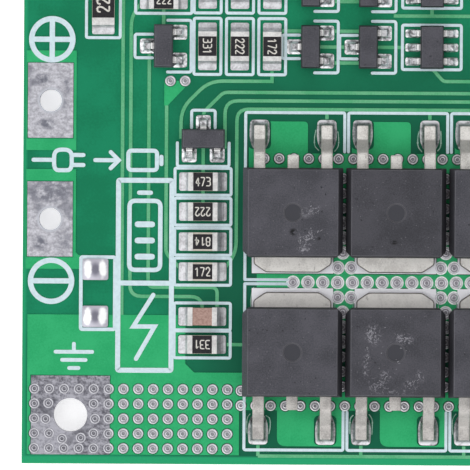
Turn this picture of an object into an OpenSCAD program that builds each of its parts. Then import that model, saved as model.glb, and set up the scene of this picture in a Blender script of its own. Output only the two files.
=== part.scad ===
// Battery protection module: a circuit board with power transistors, cell monitors and wire terminals.
// Layout values run from the board's front-left corner; the part's origin is under the board's centre.

/* [Board] */
// Width of the board, left to right
board_w = 56; // [50:0.5:64]
// Depth of the board, front to back
board_d = 51; // [45.5:0.5:58]
// Thickness of the board
board_t = 1.6; // [0.8:0.1:2.4]
// Thickness of the lacquered copper on top of the board
copper_t = 0.05; // [0.03:0.01:0.08]
// Gap between lacquered copper and bare metal
pad_gap = 0.05; // [0.02:0.01:0.08]
// Width of a track
track_w = 0.23; // [0.18:0.01:0.32]
// Bare strip along the front edge
front_strip = 0.62; // [0.5:0.02:0.7]
// Bare strip along the other edges
edge_strip = 0.35; // [0.2:0.05:0.5]

/* [Vias] */
// Spacing of neighbouring vias
via_pitch = 1.01; // [0.98:0.01:1.02]
// Diameter of the plug inside the board
via_stem_d = 0.5; // [0.3:0.02:0.56]
// Diameter of the ring on top of the board
via_ring_d = 0.72; // [0.62:0.02:0.8]
// Height of the ring over the board
via_ring_h = 0.09; // [0.06:0.01:0.09]
// Width of the bead along the ring's edge
via_bead_w = 0.12; // [0.08:0.01:0.14]
// Depth of the hollow inside the bead
via_hollow_h = 0.03; // [0.02:0.005:0.04]
// Diameter of the lip round the dimple
via_lip_d = 0.26; // [0.2:0.02:0.3]
// Depth of the dimple
via_dimple_h = 0.07; // [0.04:0.01:0.08]
// Gap between the body of a power transistor and the via row by its leads
source_via_gap = 0.26; // [0.22:0.01:0.3]
// Start of the lower lead row of vias, left of the first column
source_via_left = 3.46; // [3.44:0.01:3.5]
// Start of the upper lead row of vias, left of the first column
upper_via_left = 1.96; // [1.9:0.01:2.1]
// Start of the via row between the tabs, right of the first column
tab_via_left = 0.04; // [0:0.01:0.1]
// Shift of the vias between two bodies
gap_via_shift = 0.08; // [0.02:0.01:0.12]
// Offset of the vias at the tab corners from the gap's middle
corner_via_step = 0.46; // [0.42:0.01:0.5]
// First via of the pair above the gate transistor, right of the balance stack
link_via_left = 0.48; // [0.4:0.01:0.5]
// Drop from the first cell row to that pair
link_via_drop = 2.36; // [2.3:0.01:2.4]
// First via of the battery array, from the left edge
via_left = 0.85; // [0.8:0.01:0.95]
// First via of the battery array, from the front edge
via_front = 1.05; // [1:0.01:1.1]

/* [Copper] */
// Margin of a pour around what it serves
pour_margin = 0.22; // [0.2:0.01:0.3]
// Corner cut of a pour
pour_cut = 0.6; // [0.4:0.02:0.8]
// Reach of the charge pours past their pads
charge_pour_out = 0.84; // [0.6:0.02:1]
// Rise of the battery pour over the last via row
shelf_rise = 1.22; // [1:0.02:1.3]
// Edge of the battery pour, left of the chip column
shelf_left = 1.14; // [1:0.02:1.3]
// Slot between the battery pour and the first gate pad
gate_slot = 0.12; // [0.06:0.01:0.18]
// Reach of a lead pour across the middle of its transistor
tooth_in = 1; // [0.9:0.02:1.1]
// Reach of a lead pour to the side of its transistor
tooth_out = 3.54; // [3.3:0.02:3.6]
// Extra width of the positive pour beside the cell rows
positive_pour_in = 4.6; // [2:0.1:5]
// Length of the pour below the via pair
link_pour_drop = 1.68; // [1.4:0.02:1.8]
// Gap from the upper lead ends to the first lane
lane_gap = 1.07; // [1:0.01:1.2]
// Spacing of the lanes
lane_pitch = 0.57; // [0.5:0.01:0.6]
// Slant where the last lane meets the gate transistor
lane_cut = 1.36; // [1.2:0.02:1.5]
// Loop beside the gate transistor, left of the chip column
loop_step = 1.52; // [1.4:0.02:1.6]
// Slant of that loop
loop_cut = 1.9; // [1.6:0.02:2.1]
// Sense line, left of the balance stack
sense_step = 2.75; // [2.6:0.01:2.8]
// First line beside the sense line
line_first = 0.55; // [0.5:0.01:0.6]
// Spacing of the lines beside the sense line
line_pitch = 1.24; // [1.1:0.01:1.3]
// Gate line, right of the chip pads
gate_line_step = 0.97; // [0.9:0.01:1.05]
// Turn of the first line above the capacitor
turn_step = 1.35; // [1.2:0.01:1.4]
// Distance to the turn of the second line
turn_pitch = 0.63; // [0.5:0.01:0.7]
// Offset of the outer tracks from a cell row's middle
row_track_step = 1.08; // [1:0.01:1.2]
// Drop of the monitor's lower track
monitor_drop = 2.3; // [2.1:0.01:2.4]
// Rise of the monitor's upper track
monitor_rise = 2.14; // [2:0.01:2.2]
// Turn of the cell tap lines, over the last cell row
tap_line_rise = 4; // [3.4:0.1:5]
// Lines to the filter chips, right of their capacitors
filter_line_step = 1.8; // [1.4:0.1:2]

/* [Terminals] */
// Thickness of a tinned pad
pad_t = 0.06; // [0.04:0.01:0.1]
// Wall of a plated hole with its tin
plating_t = 0.17; // [0.16:0.01:0.2]
// Width of a charge pad
charge_pad_w = 3.08; // [2.6:0.02:3.2]
// Depth of a charge pad
charge_pad_d = 5.1; // [4.6:0.1:5.6]
// Hole in a charge pad
charge_hole_d = 1.5; // [1:0.1:2]
// Gap from a charge pad to the left edge
charge_edge = 0.3; // [0.25:0.05:0.4]
// Centre of the charge negative pad, from the front edge
charge_front = 16.63; // [16.4:0.01:17.2]
// Spacing of the two charge pads
charge_pitch = 8.07; // [7.6:0.01:8.6]
// Side of a power pad
power_pad = 5.36; // [4.9:0.02:5.6]
// Hole in a power pad
power_hole_d = 2.3; // [1.6:0.1:2.6]
// Gap from a power pad to the board's edges
power_edge = 0.62; // [0.55:0.01:0.7]
// Centre of the discharge positive pad, from the front edge
discharge_front = 17.15; // [16:0.05:19]
// Width of a cell tap pad
tap_pad_w = 4.2; // [3.6:0.1:4.8]
// Depth of a cell tap pad
tap_pad_d = 4.6; // [4:0.1:5]
// Hole in a cell tap pad
tap_hole_d = 1.5; // [1:0.1:2]
// Centre of the first cell tap, from the left edge
tap_left = 11; // [10:0.1:12]
// Spacing of the cell taps
tap_pitch = 14; // [12:0.1:16]

/* [Power transistors] */
// Width of the moulded body
mosfet_w = 6.8; // [6.5:0.02:7]
// Length of the moulded body
mosfet_l = 6.1; // [5.97:0.01:6.22]
// Height of the moulded body
mosfet_h = 2.3; // [2.18:0.01:2.4]
// Draw-in of the top face on the long sides
mosfet_draft = 0.34; // [0.2:0.01:0.4]
// Draw-in of the top face on the lead and tab sides
mosfet_end_draft = 0.12; // [0.06:0.01:0.2]
// Diameter of the ejector mark on top
mosfet_mark_d = 1.25; // [0.8:0.05:1.6]
// Depth of the ejector mark
mosfet_mark_h = 0.06; // [0.03:0.01:0.12]
// Cut of the body's corners beside the tab
mosfet_cut = 0.44; // [0.2:0.02:0.6]
// Gap between the bodies of neighbouring columns
mosfet_gap = 0.2; // [0.1:0.02:0.5]
// Centre of the first column, from the left edge
mosfet_left = 18.36; // [18.2:0.02:18.6]
// Free strip between the front edge and the lead ends
front_lane = 1.73; // [1.6:0.01:1.9]
// Gap between the solder of a tab and the vias beside it
tab_via_gap = 0.045; // [0.03:0.005:0.1]
// Width of the metal tab
tab_w = 5.3; // [5.1:0.02:5.44]
// Thickness of the tab
tab_t = 0.5; // [0.45:0.01:0.6]
// Gap from the tab plate to the body's lead side
tab_recess = 0.9; // [0.7:0.02:1.2]
// Reach of the tab past the body
tab_out = 1.02; // [0.9:0.01:1.1]
// Width of each cut tab corner
tab_corner_w = 0.84; // [0.5:0.02:1]
// Length of each cut tab corner
tab_corner_l = 0.56; // [0.4:0.02:0.7]
// Rounding along the edges of a cut corner
tab_corner_r = 0.2; // [0.1:0.01:0.22]
// Width of a lead
lead_w = 0.78; // [0.6:0.02:0.9]
// Thickness of a lead
lead_t = 0.5; // [0.4:0.02:0.56]
// Spacing of the two long leads
lead_span = 4.57; // [4.5:0.01:4.65]
// Reach of a long lead past the body
lead_out = 2.9; // [2.75:0.01:3]
// Level part of a long lead beside the body
lead_shoulder = 0.9; // [0.75:0.01:1]
// Flat foot of a long lead
lead_foot = 1.05; // [0.9:0.01:1.2]
// Height of the lead's centre line where it leaves the body
lead_exit_h = 1.2; // [1.05:0.01:1.3]
// Depth of a lead inside the body
lead_root = 0.5; // [0.3:0.02:0.8]
// Reach of the cut middle lead past the body
stub_out = 0.88; // [0.7:0.01:1]

/* [Solder] */
// Thickness of solder under leads and chips
solder_t = 0.1; // [0.1:0.01:0.18]
// Thickness of solder at a pad's outer edge
solder_edge_h = 0.06; // [0.04:0.01:0.09]
// Width of the pad under a long lead
lead_pad_w = 1.44; // [1.2:0.02:1.6]
// Corner radius of that pad
lead_pad_r = 0.3; // [0.1:0.02:0.4]
// Width of the solder along a long lead's end
lead_pool_w = 1.3; // [1.1:0.02:1.4]
// Width of the solder behind a long lead's foot
lead_pool_heel_w = 0.86; // [0.8:0.02:1.1]
// Bulge of the solder beside a long lead's foot
lead_pool_out = 0.14; // [0:0.01:0.2]
// Pad in front of a long lead's end
lead_toe = 0.36; // [0.2:0.02:0.5]
// Pad behind the flat foot of a long lead
lead_heel = 0.54; // [0.3:0.02:0.8]
// Rise of solder on a long lead's end
lead_rise = 0.34; // [0.15:0.01:0.38]
// Solder past a tab's end in the lower row
tab_margin = 0.26; // [0.16:0.01:0.3]
// Solder past a tab's end in the upper row
upper_tab_margin = 0.06; // [0.04:0.01:0.16]
// Solder beside the tab
tab_side = 0.12; // [0.08:0.01:0.26]
// Rise of solder on the tab's end
tab_rise = 0.12; // [0.08:0.01:0.35]
// Rise of solder on a chip's end
chip_rise = 0.36; // [0.15:0.01:0.42]
// Corner radius of a chip's pad
chip_pad_r = 0.14; // [0.06:0.02:0.2]

/* [Small transistors] */
// Length of the body
sot_l = 2.94; // [2.8:0.02:3.04]
// Width of the body
sot_w = 1.3; // [1.2:0.02:1.4]
// Height of the body
sot_h = 1; // [0.9:0.02:1.1]
// Draw-in of the top face on each side
sot_draft = 0.1; // [0.05:0.01:0.16]
// Width of a lead
sot_lead_w = 0.42; // [0.34:0.02:0.5]
// Thickness of a lead
sot_lead_t = 0.15; // [0.1:0.01:0.18]
// Offset of each twin lead from the middle
sot_lead_step = 0.95; // [0.9:0.01:1]
// Reach of a lead from the body's centre line
sot_reach = 1.25; // [1.15:0.01:1.35]
// Side of the solder pad
sot_pad = 1; // [0.8:0.02:1.06]
// Corner radius of the solder pad
sot_pad_r = 0.16; // [0.08:0.02:0.24]
// Reach of the solder pad under the body
sot_pad_tuck = 0.05; // [0:0.01:0.15]
// Gap under a small body
sot_gap = 0.04; // [0.02:0.01:0.1]
// Depth of a small lead inside the body
sot_root = 0.2; // [0.1:0.01:0.3]
// Level part of a small lead beside the body
sot_shoulder = 0.16; // [0.1:0.01:0.18]
// Flat foot of a small lead
sot_foot = 0.3; // [0.22:0.01:0.32]
// Rise of solder over the pad under a small lead
sot_rise = 0.27; // [0.2:0.01:0.32]

/* [Cell monitors] */
// Width of the body
monitor_w = 1.6; // [1.5:0.02:1.7]
// Height of the body
monitor_h = 1.1; // [1:0.02:1.2]
// Reach of a lead from the body's centre line
monitor_reach = 1.45; // [1.38:0.01:1.55]
// Length of the solder pad
monitor_pad_l = 1; // [0.8:0.02:1.1]
// Width of the solder pad
monitor_pad_w = 0.58; // [0.54:0.02:0.64]

/* [Chips] */
// Length of a small chip
chip_l = 2; // [1.9:0.02:2.1]
// Width of a small chip
chip_w = 1.25; // [1.15:0.01:1.35]
// Height of a resistor
resistor_h = 0.5; // [0.44:0.02:0.6]
// Height of a capacitor
capacitor_h = 0.85; // [0.7:0.02:1]
// Length of an end cap on a small chip
chip_band = 0.34; // [0.25:0.01:0.45]
// Wall of an end cap
cap_t = 0.03; // [0.02:0.01:0.05]
// Side margin of a coat that covers the chip
coat_margin = 0.02; // [0.01:0.01:0.05]
// Side margin of a coat that shows a pale border
coat_margin_wide = 0.12; // [0.08:0.01:0.2]
// Thickness of the coat on a resistor
coat_t = 0.04; // [0.03:0.01:0.06]
// Pad past the end of a small chip
chip_toe = 0.62; // [0.5:0.01:0.7]
// Length of a bleed resistor
bleed_l = 3.2; // [3:0.02:3.3]
// Width of a bleed resistor
bleed_w = 1.52; // [1.4:0.02:1.7]
// Height of a bleed resistor
bleed_h = 0.55; // [0.48:0.02:0.65]
// Length of an end cap on a bleed resistor
bleed_band = 0.5; // [0.35:0.01:0.6]

/* [Layout] */
// Chip column, from the left edge
column_left = 12.24; // [12.1:0.02:12.4]
// Lowest chip of the column, from the front edge
column_front = 8.15; // [8:0.01:8.3]
// Step from the lowest chip to the capacitor
column_step = 1.9; // [1.8:0.01:2]
// First of the four upper chips, from the front edge
column_upper = 13.1; // [12.9:0.01:13.2]
// Spacing of the four upper chips
column_pitch = 2.04; // [1.95:0.01:2.1]
// Gate transistor, from the front edge
gate_front = 22.14; // [21.9:0.01:22.3]
// Distance from the upper lead ends to the first cell row
row_lane = 5.33; // [5.2:0.01:5.6]
// Spacing of the cell rows
row_pitch = 4.18; // [4.14:0.01:4.3]
// First chip of a cell row, from the left edge
row_chip_left = 12.49; // [12.4:0.01:12.6]
// Spacing of the chips in a cell row
row_chip_pitch = 2.2; // [2.1:0.01:2.24]
// First small transistor of a cell row, from the left edge
row_sot_left = 19.5; // [19.3:0.01:19.7]
// Spacing of the small transistors in a cell row
row_sot_pitch = 3.92; // [3.8:0.01:4]
// Cell monitor, from the left edge
monitor_left = 27.75; // [27.5:0.01:28]
// First filter chip right of the monitor, from the left edge
filter_left = 32.2; // [31.8:0.1:33]
// Balance stack, from the left edge
stack_left = 9.5; // [9.3:0.01:9.6]
// Step from a balance transistor to its chip
stack_step = 3.14; // [3.05:0.01:3.2]
// Spacing of the balance stacks
stack_pitch = 5.92; // [5.9:0.01:6.1]
// Bleed resistors, from the left edge
bleed_left = 5.4; // [5.2:0.01:5.5]
// Step from the first cell row to the first bleed resistor
bleed_step = 3; // [2.8:0.01:3.1]
// Spacing of the bleed resistors
bleed_pitch = 4.9; // [4.8:0.01:5]
// Bare pads beside the charge terminals, from the left edge
spare_left = 4.95; // [4.9:0.01:5.1]
// Lower bare pad, from the front edge
spare_front = 10.02; // [9.9:0.01:10.2]
// Spacing of the two bare pads
spare_pitch = 3.2; // [3:0.01:3.4]
// Length of a bare pad
spare_l = 1.76; // [1.6:0.01:1.95]
// Width of a bare pad
spare_w = 1.45; // [1.2:0.01:1.6]
// Height of the solder on a bare pad
spare_h = 0.34; // [0.15:0.01:0.4]

/* [Hidden] */
$fn = 32;
// Straight pieces along a short curve
curve_steps = 5;
// Straight pieces round a dome
dome_steps = 128;
// Reach of a cutter past what it cuts
over = 1;
columns = 4;
cell_rows = 3;
stacks = 2;

// Places that follow from the driving sizes
via_r = via_ring_d / 2;
mosfet_pitch = mosfet_w + mosfet_gap;
tab_lane = via_ring_d + 2 * (tab_margin + tab_via_gap);
lower_v = front_lane + lead_out + mosfet_l / 2;
upper_v = lower_v + mosfet_l + 2 * tab_out + tab_lane;
tab_mid_v = (lower_v + upper_v) / 2;
upper_end_v = upper_v + mosfet_l / 2 + lead_out;
last_u = mosfet_left + (columns - 1) * mosfet_pitch;
row_v = upper_end_v + row_lane;
charge_u = charge_edge + charge_pad_w / 2;
power_u = power_edge + power_pad / 2;
power_right_u = board_w - power_u;
power_back_v = board_d - power_u;
tap_v = board_d - power_edge - tap_pad_d / 2;
capacitor_v = column_front + column_step;
foot_end = mosfet_l / 2 + lead_out;
foot_heel = foot_end - lead_foot - lead_heel;
tab_end = mosfet_l / 2 + tab_out;
tab_inner = mosfet_l / 2 - tab_recess;
sot_pad_mid = sot_w / 2 - sot_pad_tuck + sot_pad / 2;
monitor_pad_mid = monitor_w / 2 + monitor_pad_l / 2;

function column_u(i) = mosfet_left + i * mosfet_pitch;
function row_at(k) = row_v + k * row_pitch;
function stack_at(k) = row_v + k * stack_pitch;

// Terminals as [left, front, width, depth, hole]
charge_terminals_at = [for (k = [0, 1])
    [charge_u, charge_front + k * charge_pitch, charge_pad_w, charge_pad_d, charge_hole_d]];
battery_terminals_at = [
    [power_u, power_u, power_pad, power_pad, power_hole_d],
    [power_right_u, power_back_v, power_pad, power_pad, power_hole_d]];
discharge_terminals_at = [
    [power_right_u, power_u, power_pad, power_pad, power_hole_d],
    [power_right_u, discharge_front, power_pad, power_pad, power_hole_d]];
tap_terminals_at = [for (k = [0, 1])
    [tap_left + k * tap_pitch, tap_v, tap_pad_w, tap_pad_d, tap_hole_d]];
all_terminals = concat(charge_terminals_at, battery_terminals_at, discharge_terminals_at, tap_terminals_at);

// Small parts as [left, front, turn], a resistor with the side margin of its coat as well
sots = concat([[column_left, gate_front, 0]],
    [for (k = [0:stacks - 1]) [stack_left, stack_at(k), 90]],
    [for (k = [0:cell_rows - 1], n = [0, 1]) [row_sot_left + n * row_sot_pitch, row_at(k), 90]]);
monitors = [for (k = [0:cell_rows - 1]) [monitor_left, row_at(k), 90]];
resistors = concat(
    [for (n = [0:3]) [column_left, column_upper + n * column_pitch, 0, n < 2 ? coat_margin_wide : coat_margin]],
    [[column_left, column_front, 0, coat_margin]],
    [for (k = [0:cell_rows - 1], n = [0:2]) [row_chip_left + n * row_chip_pitch, row_at(k), 90, coat_margin]],
    [for (k = [0:stacks - 1]) [stack_left, stack_at(k) + stack_step, 0, coat_margin]],
    [for (k = [0:cell_rows - 1]) [filter_left, row_at(k), 90, coat_margin]]);
capacitors = concat([[column_left, capacitor_v, 0]],
    [for (k = [0:cell_rows - 1]) [filter_left + row_chip_pitch, row_at(k), 90]]);
bleeds = [for (k = [0:stacks - 1]) [bleed_left, row_v + bleed_step + k * bleed_pitch, 90, coat_margin]];

// Rows of power transistors as [front, turn, solder past a tab's end]
mosfet_rows = [[upper_v, 0, upper_tab_margin], [lower_v, 180, tab_margin]];

// Via places. Near a power hole they are pushed out until their rings clear its plating
via_clear = 0.02;
power_clear = power_hole_d / 2 + plating_t + via_r + via_clear;
function pushed(p, c) = c + (p - c) * max(1, power_clear / norm(p - c));
function via_grid(c, start, step, across, along) = [
    for (i = [0:across - 1], j = [0:along - 1])
        let (p = start + [i * step[0], j * step[1]])
        if (norm(p - c) > power_hole_d / 2) pushed(p, c)];
function via_row(start, count) = [for (i = [0:count - 1]) start + [i * via_pitch, 0]];
battery_vias = via_grid([power_u, power_u], [via_left, via_front], [via_pitch, via_pitch], 14, 5);
discharge_vias = via_grid([power_right_u, power_u], [board_w - via_left, via_front],
    [-via_pitch, via_pitch], 6, 5);
source_v = lower_v - mosfet_l / 2 - via_r - source_via_gap;
upper_source_v = upper_v + mosfet_l / 2 + via_r + source_via_gap;
source_vias = via_row([mosfet_left - source_via_left + via_pitch, source_v], 27);
shelf_vias = [for (j = [0, 1]) [mosfet_left - source_via_left, source_v + j * via_pitch]];
upper_source_vias = via_row([mosfet_left - upper_via_left, upper_source_v], 26);
tab_vias = via_row([mosfet_left + tab_via_left, tab_mid_v], 25);
// Columns of vias run up the narrow gaps between the bodies, with a pair at each tab corner
gap_u = [for (i = [0:columns - 2]) column_u(i) + mosfet_pitch / 2];
gap_vias = [for (u = gap_u, s = [-1, 1], j = [2:7]) [u - gap_via_shift, tab_mid_v + s * j * via_pitch]];
corner_vias = [for (u = gap_u, s = [-1, 1], d = [-1, 1])
    [u + gap_via_shift / 2 + d * corner_via_step, tab_mid_v + s * via_pitch]];
link_vias = via_row([stack_left + link_via_left, row_v - link_via_drop], 2);
via_points = concat(battery_vias, discharge_vias, source_vias, shelf_vias, upper_source_vias, tab_vias,
    gap_vias, corner_vias, link_vias);

// Flat path helpers
function unit(v) = v / norm(v);
function left_of(v) = [-v[1], v[0]];
function flipped(list) = [for (i = [len(list) - 1:-1:0]) list[i]];
function leg(path, i) = unit(path[i] - path[i - 1]);
function side(path, half) = [
    for (i = [0:len(path) - 1])
        let (a = leg(path, max(i, 1)), b = leg(path, min(i + 1, len(path) - 1)), m = left_of(unit(a + b)))
        path[i] + m * half / (m * left_of(a))];
function ribbon(path, width) = concat(side(path, width / 2), flipped(side(path, -width / 2)));
function curve(a, mid, b) = [
    for (i = [0:curve_steps])
        let (s = i / curve_steps) (1 - s) * (1 - s) * a + 2 * s * (1 - s) * mid + s * s * b];
function corner(a, p, b, reach) = curve(p + unit(a - p) * reach, p, p + unit(b - p) * reach);
function rounded(path, reach) = concat([path[0]],
    [for (i = [1:len(path) - 2]) each corner(path[i - 1], path[i], path[i + 1], reach)],
    [path[len(path) - 1]]);

// Frames
module in_board() {
    translate([-board_w / 2, -board_d / 2, 0]) children();
}

module on_board() {
    in_board() translate([0, 0, board_t]) children();
}

module at(place) {
    translate([place[0], place[1], 0]) rotate(place[2]) children();
}

// Runs a flat profile of lengths and heights sideways, centred
module across(width) {
    rotate([90, 0, 90]) linear_extrude(width, center = true) children();
}

// Moulded body with drawn-in sides that meet at its waist
module moulded(w, l, h, waist, side_draft, end_draft) {
    function profile(s, draft) = [[draft / 2 - s / 2, 0], [s / 2 - draft / 2, 0], [s / 2, waist],
        [s / 2 - draft, h], [draft - s / 2, h], [-s / 2, waist]];
    intersection() {
        across(w) polygon(profile(l, end_draft));
        rotate([90, 0, 0]) linear_extrude(l, center = true) polygon(profile(w, side_draft));
    }
}

// Hollow slope of solder, up from a pad's edge to what it wets
function slope(edge, inner, top) = curve([edge, solder_edge_h],
    [inner + (edge - inner) / 4, solder_edge_h + (top - solder_edge_h) / 6], [inner, top]);
function both_ways(half) = concat(half, [for (p = flipped(half)) [-p[0], p[1]]]);

// Solder under a foot and up its end: level from the heel to the end, then a slope out to the toe
module solder_foot(heel, end, toe, rise, width, r) {
    top = solder_t + rise;
    intersection() {
        across(width)
            polygon(concat([[heel, 0], [toe, 0]], slope(toe, end, top), [[end, solder_t], [heel, solder_t]]));
        translate([0, (heel + toe) / 2, 0]) linear_extrude(top) round_pad(width, toe - heel, r);
    }
}

// Heap of solder within the plan that is given: slopes on all sides of a level top
module solder_heap(heel, bend, end, toe, top, width, top_w) {
    half = concat([[width / 2, 0]], slope(width / 2, top_w / 2, top));
    intersection() {
        linear_extrude(top) children();
        across(width)
            polygon(concat([[heel, 0], [toe, 0]], slope(toe, end, top), flipped(slope(heel, bend, top))));
        translate([0, (heel + toe) / 2, 0]) rotate([90, 0, 0]) linear_extrude(toe - heel, center = true)
            polygon(both_ways(half));
    }
}

// Footprints of bare metal, grown by a gap
module round_pad(w, d, r) {
    square([w - 2 * r, d], center = true);
    square([w, d - 2 * r], center = true);
    for (x = [-1, 1], y = [-1, 1]) translate([x * (w / 2 - r), y * (d / 2 - r)]) circle(r);
}

module vias_flat(r) {
    for (p = via_points) translate(p) circle(r);
}

module terminal_flat(t, grow) {
    translate([t[0], t[1]]) square([t[2] + 2 * grow, t[3] + 2 * grow], center = true);
}

module chip_pads_flat(l, w, band, grow) {
    long = band + chip_toe + 2 * grow;
    for (s = [-1, 1]) translate([s * (l - band + chip_toe) / 2, 0])
        round_pad(long, w + 2 * grow, chip_pad_r + grow);
}

module sot_pads_flat(grow) {
    for (p = [[0, 1], [-sot_lead_step, -1], [sot_lead_step, -1]])
        translate([p[0], p[1] * sot_pad_mid])
            round_pad(sot_pad + 2 * grow, sot_pad + 2 * grow, sot_pad_r + grow);
}

module monitor_pads_flat(grow) {
    for (n = [-1:1], s = [-1, 1]) translate([n * sot_lead_step, s * monitor_pad_mid])
        round_pad(monitor_pad_w + 2 * grow, monitor_pad_l + 2 * grow, sot_pad_r + grow);
}

module tab_pad_flat(grow) {
    end = tab_end + $tab_margin;
    translate([0, (tab_inner - end) / 2])
        square([tab_w + 2 * tab_side + 2 * grow, tab_inner + end + 2 * grow], center = true);
}

module lead_pads_flat(grow) {
    for (s = [-1, 1]) translate([s * lead_span / 2, (foot_heel + foot_end + lead_toe) / 2])
        round_pad(lead_pad_w + 2 * grow, foot_end + lead_toe - foot_heel + 2 * grow, lead_pad_r + grow);
}

module at_mosfets() {
    for (i = [0:columns - 1], row = mosfet_rows) {
        $tab_margin = row[2];
        at([column_u(i), row[0], row[1]]) children();
    }
}

module pads_flat(grow) {
    for (t = all_terminals) terminal_flat(t, grow);
    for (c = concat(resistors, capacitors)) at(c) chip_pads_flat(chip_l, chip_w, chip_band, grow);
    for (c = bleeds) at(c) chip_pads_flat(bleed_l, bleed_w, bleed_band, grow);
    for (c = sots) at(c) sot_pads_flat(grow);
    for (c = monitors) at(c) monitor_pads_flat(grow);
    at_mosfets() {
        tab_pad_flat(grow);
        lead_pads_flat(grow);
    }
    for (k = [0, 1]) translate([spare_left, spare_front + k * spare_pitch])
        round_pad(spare_l + 2 * grow, spare_w + 2 * grow, chip_pad_r + grow);
}

// Copper pours, bounded by the parts that they serve
shelf_v = source_v + via_pitch + shelf_rise;
shelf_u = column_left - shelf_left;
pour_back_v = spare_front + track_w / 2;
slot_u = mosfet_left - source_via_left - gate_slot;
strip_v = source_v - via_r + pad_gap;
pour_end_u = last_u + mosfet_w / 2 + pour_margin;
right_pour_u = pour_end_u + 2 * pour_margin;

module negative_pour() {
    low = front_lane - lead_toe - pour_margin / 2;
    teeth = [for (i = [0:columns - 1]) each let (l = column_u(i) - tooth_in, r = column_u(i) + tooth_out)
        concat([[l, strip_v]], corner([l, strip_v], [l, low], [r, low], pour_cut), [[r, low], [r, strip_v]])];
    polygon(concat([[edge_strip, front_strip], [slot_u, front_strip], [slot_u, strip_v]], teeth,
        [[pour_end_u, strip_v], [pour_end_u, shelf_v], [shelf_u + pour_cut, shelf_v],
        [shelf_u, shelf_v + pour_cut], [shelf_u, pour_back_v], [edge_strip, pour_back_v]]));
}

module upper_source_pour() {
    top = upper_end_v + lead_toe - pour_margin / 2;
    base = upper_source_v + via_r;
    left = lead_span / 2 + lead_pad_w / 2;
    teeth = [for (i = [columns - 1:-1:0]) each let (u = column_u(i), r = u + tooth_in)
        concat([[r, base]], corner([r, base], [r, top], [u, top], lead_pad_r),
            [[u - left, top], [u - left, base]])];
    polygon(concat([[mosfet_left - left, upper_v], [pour_end_u, upper_v], [pour_end_u, base]], teeth));
}

module drain_pour() {
    translate([mosfet_left - tab_w / 2 + pour_margin, lower_v + tab_inner])
        square([last_u - mosfet_left + tab_w, upper_v - lower_v - 2 * tab_inner]);
}

module charge_pours() {
    right = charge_u + charge_pad_w / 2 + pour_margin;
    left = charge_edge - pour_margin / 2;
    front = charge_front - charge_pad_d / 2 - charge_pour_out;
    back = charge_front + charge_pad_d / 2 + charge_pour_out;
    arm_v = spare_front + spare_pitch;
    arm_back = arm_v + spare_w / 2 + pour_margin;
    polygon([[left, front], [right, front], [spare_left, arm_v], [spare_left, arm_back],
        [right + pour_margin, arm_back], [right, arm_back + pour_margin], [right, back], [left, back]]);
    translate([left, charge_front + charge_pitch - charge_pad_d / 2 - charge_pour_out])
        square([right - left, charge_pad_d + 2 * charge_pour_out]);
}

module right_pours() {
    right = board_w - edge_strip;
    translate([right_pour_u, front_strip]) square([right - right_pour_u, pour_back_v - front_strip]);
    front = pour_back_v + pour_cut;
    wide_u = right_pour_u - positive_pour_in;
    back = board_d - edge_strip;
    polygon([[right_pour_u, front], [right, front], [right, back], [wide_u, back], [wide_u, row_v + pour_cut],
        [wide_u + pour_cut, row_v], [right_pour_u, row_v]]);
}

module tap_pours() {
    for (t = tap_terminals_at) terminal_flat(t, pour_margin);
}

module link_pour() {
    a = link_vias[0];
    b = link_vias[1];
    w = via_r + pad_gap;
    low = -link_pour_drop;
    polygon([a - [w, 0], b + [w, 0], a + [track_w - w, low], a + [-w, low]]);
}

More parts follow.
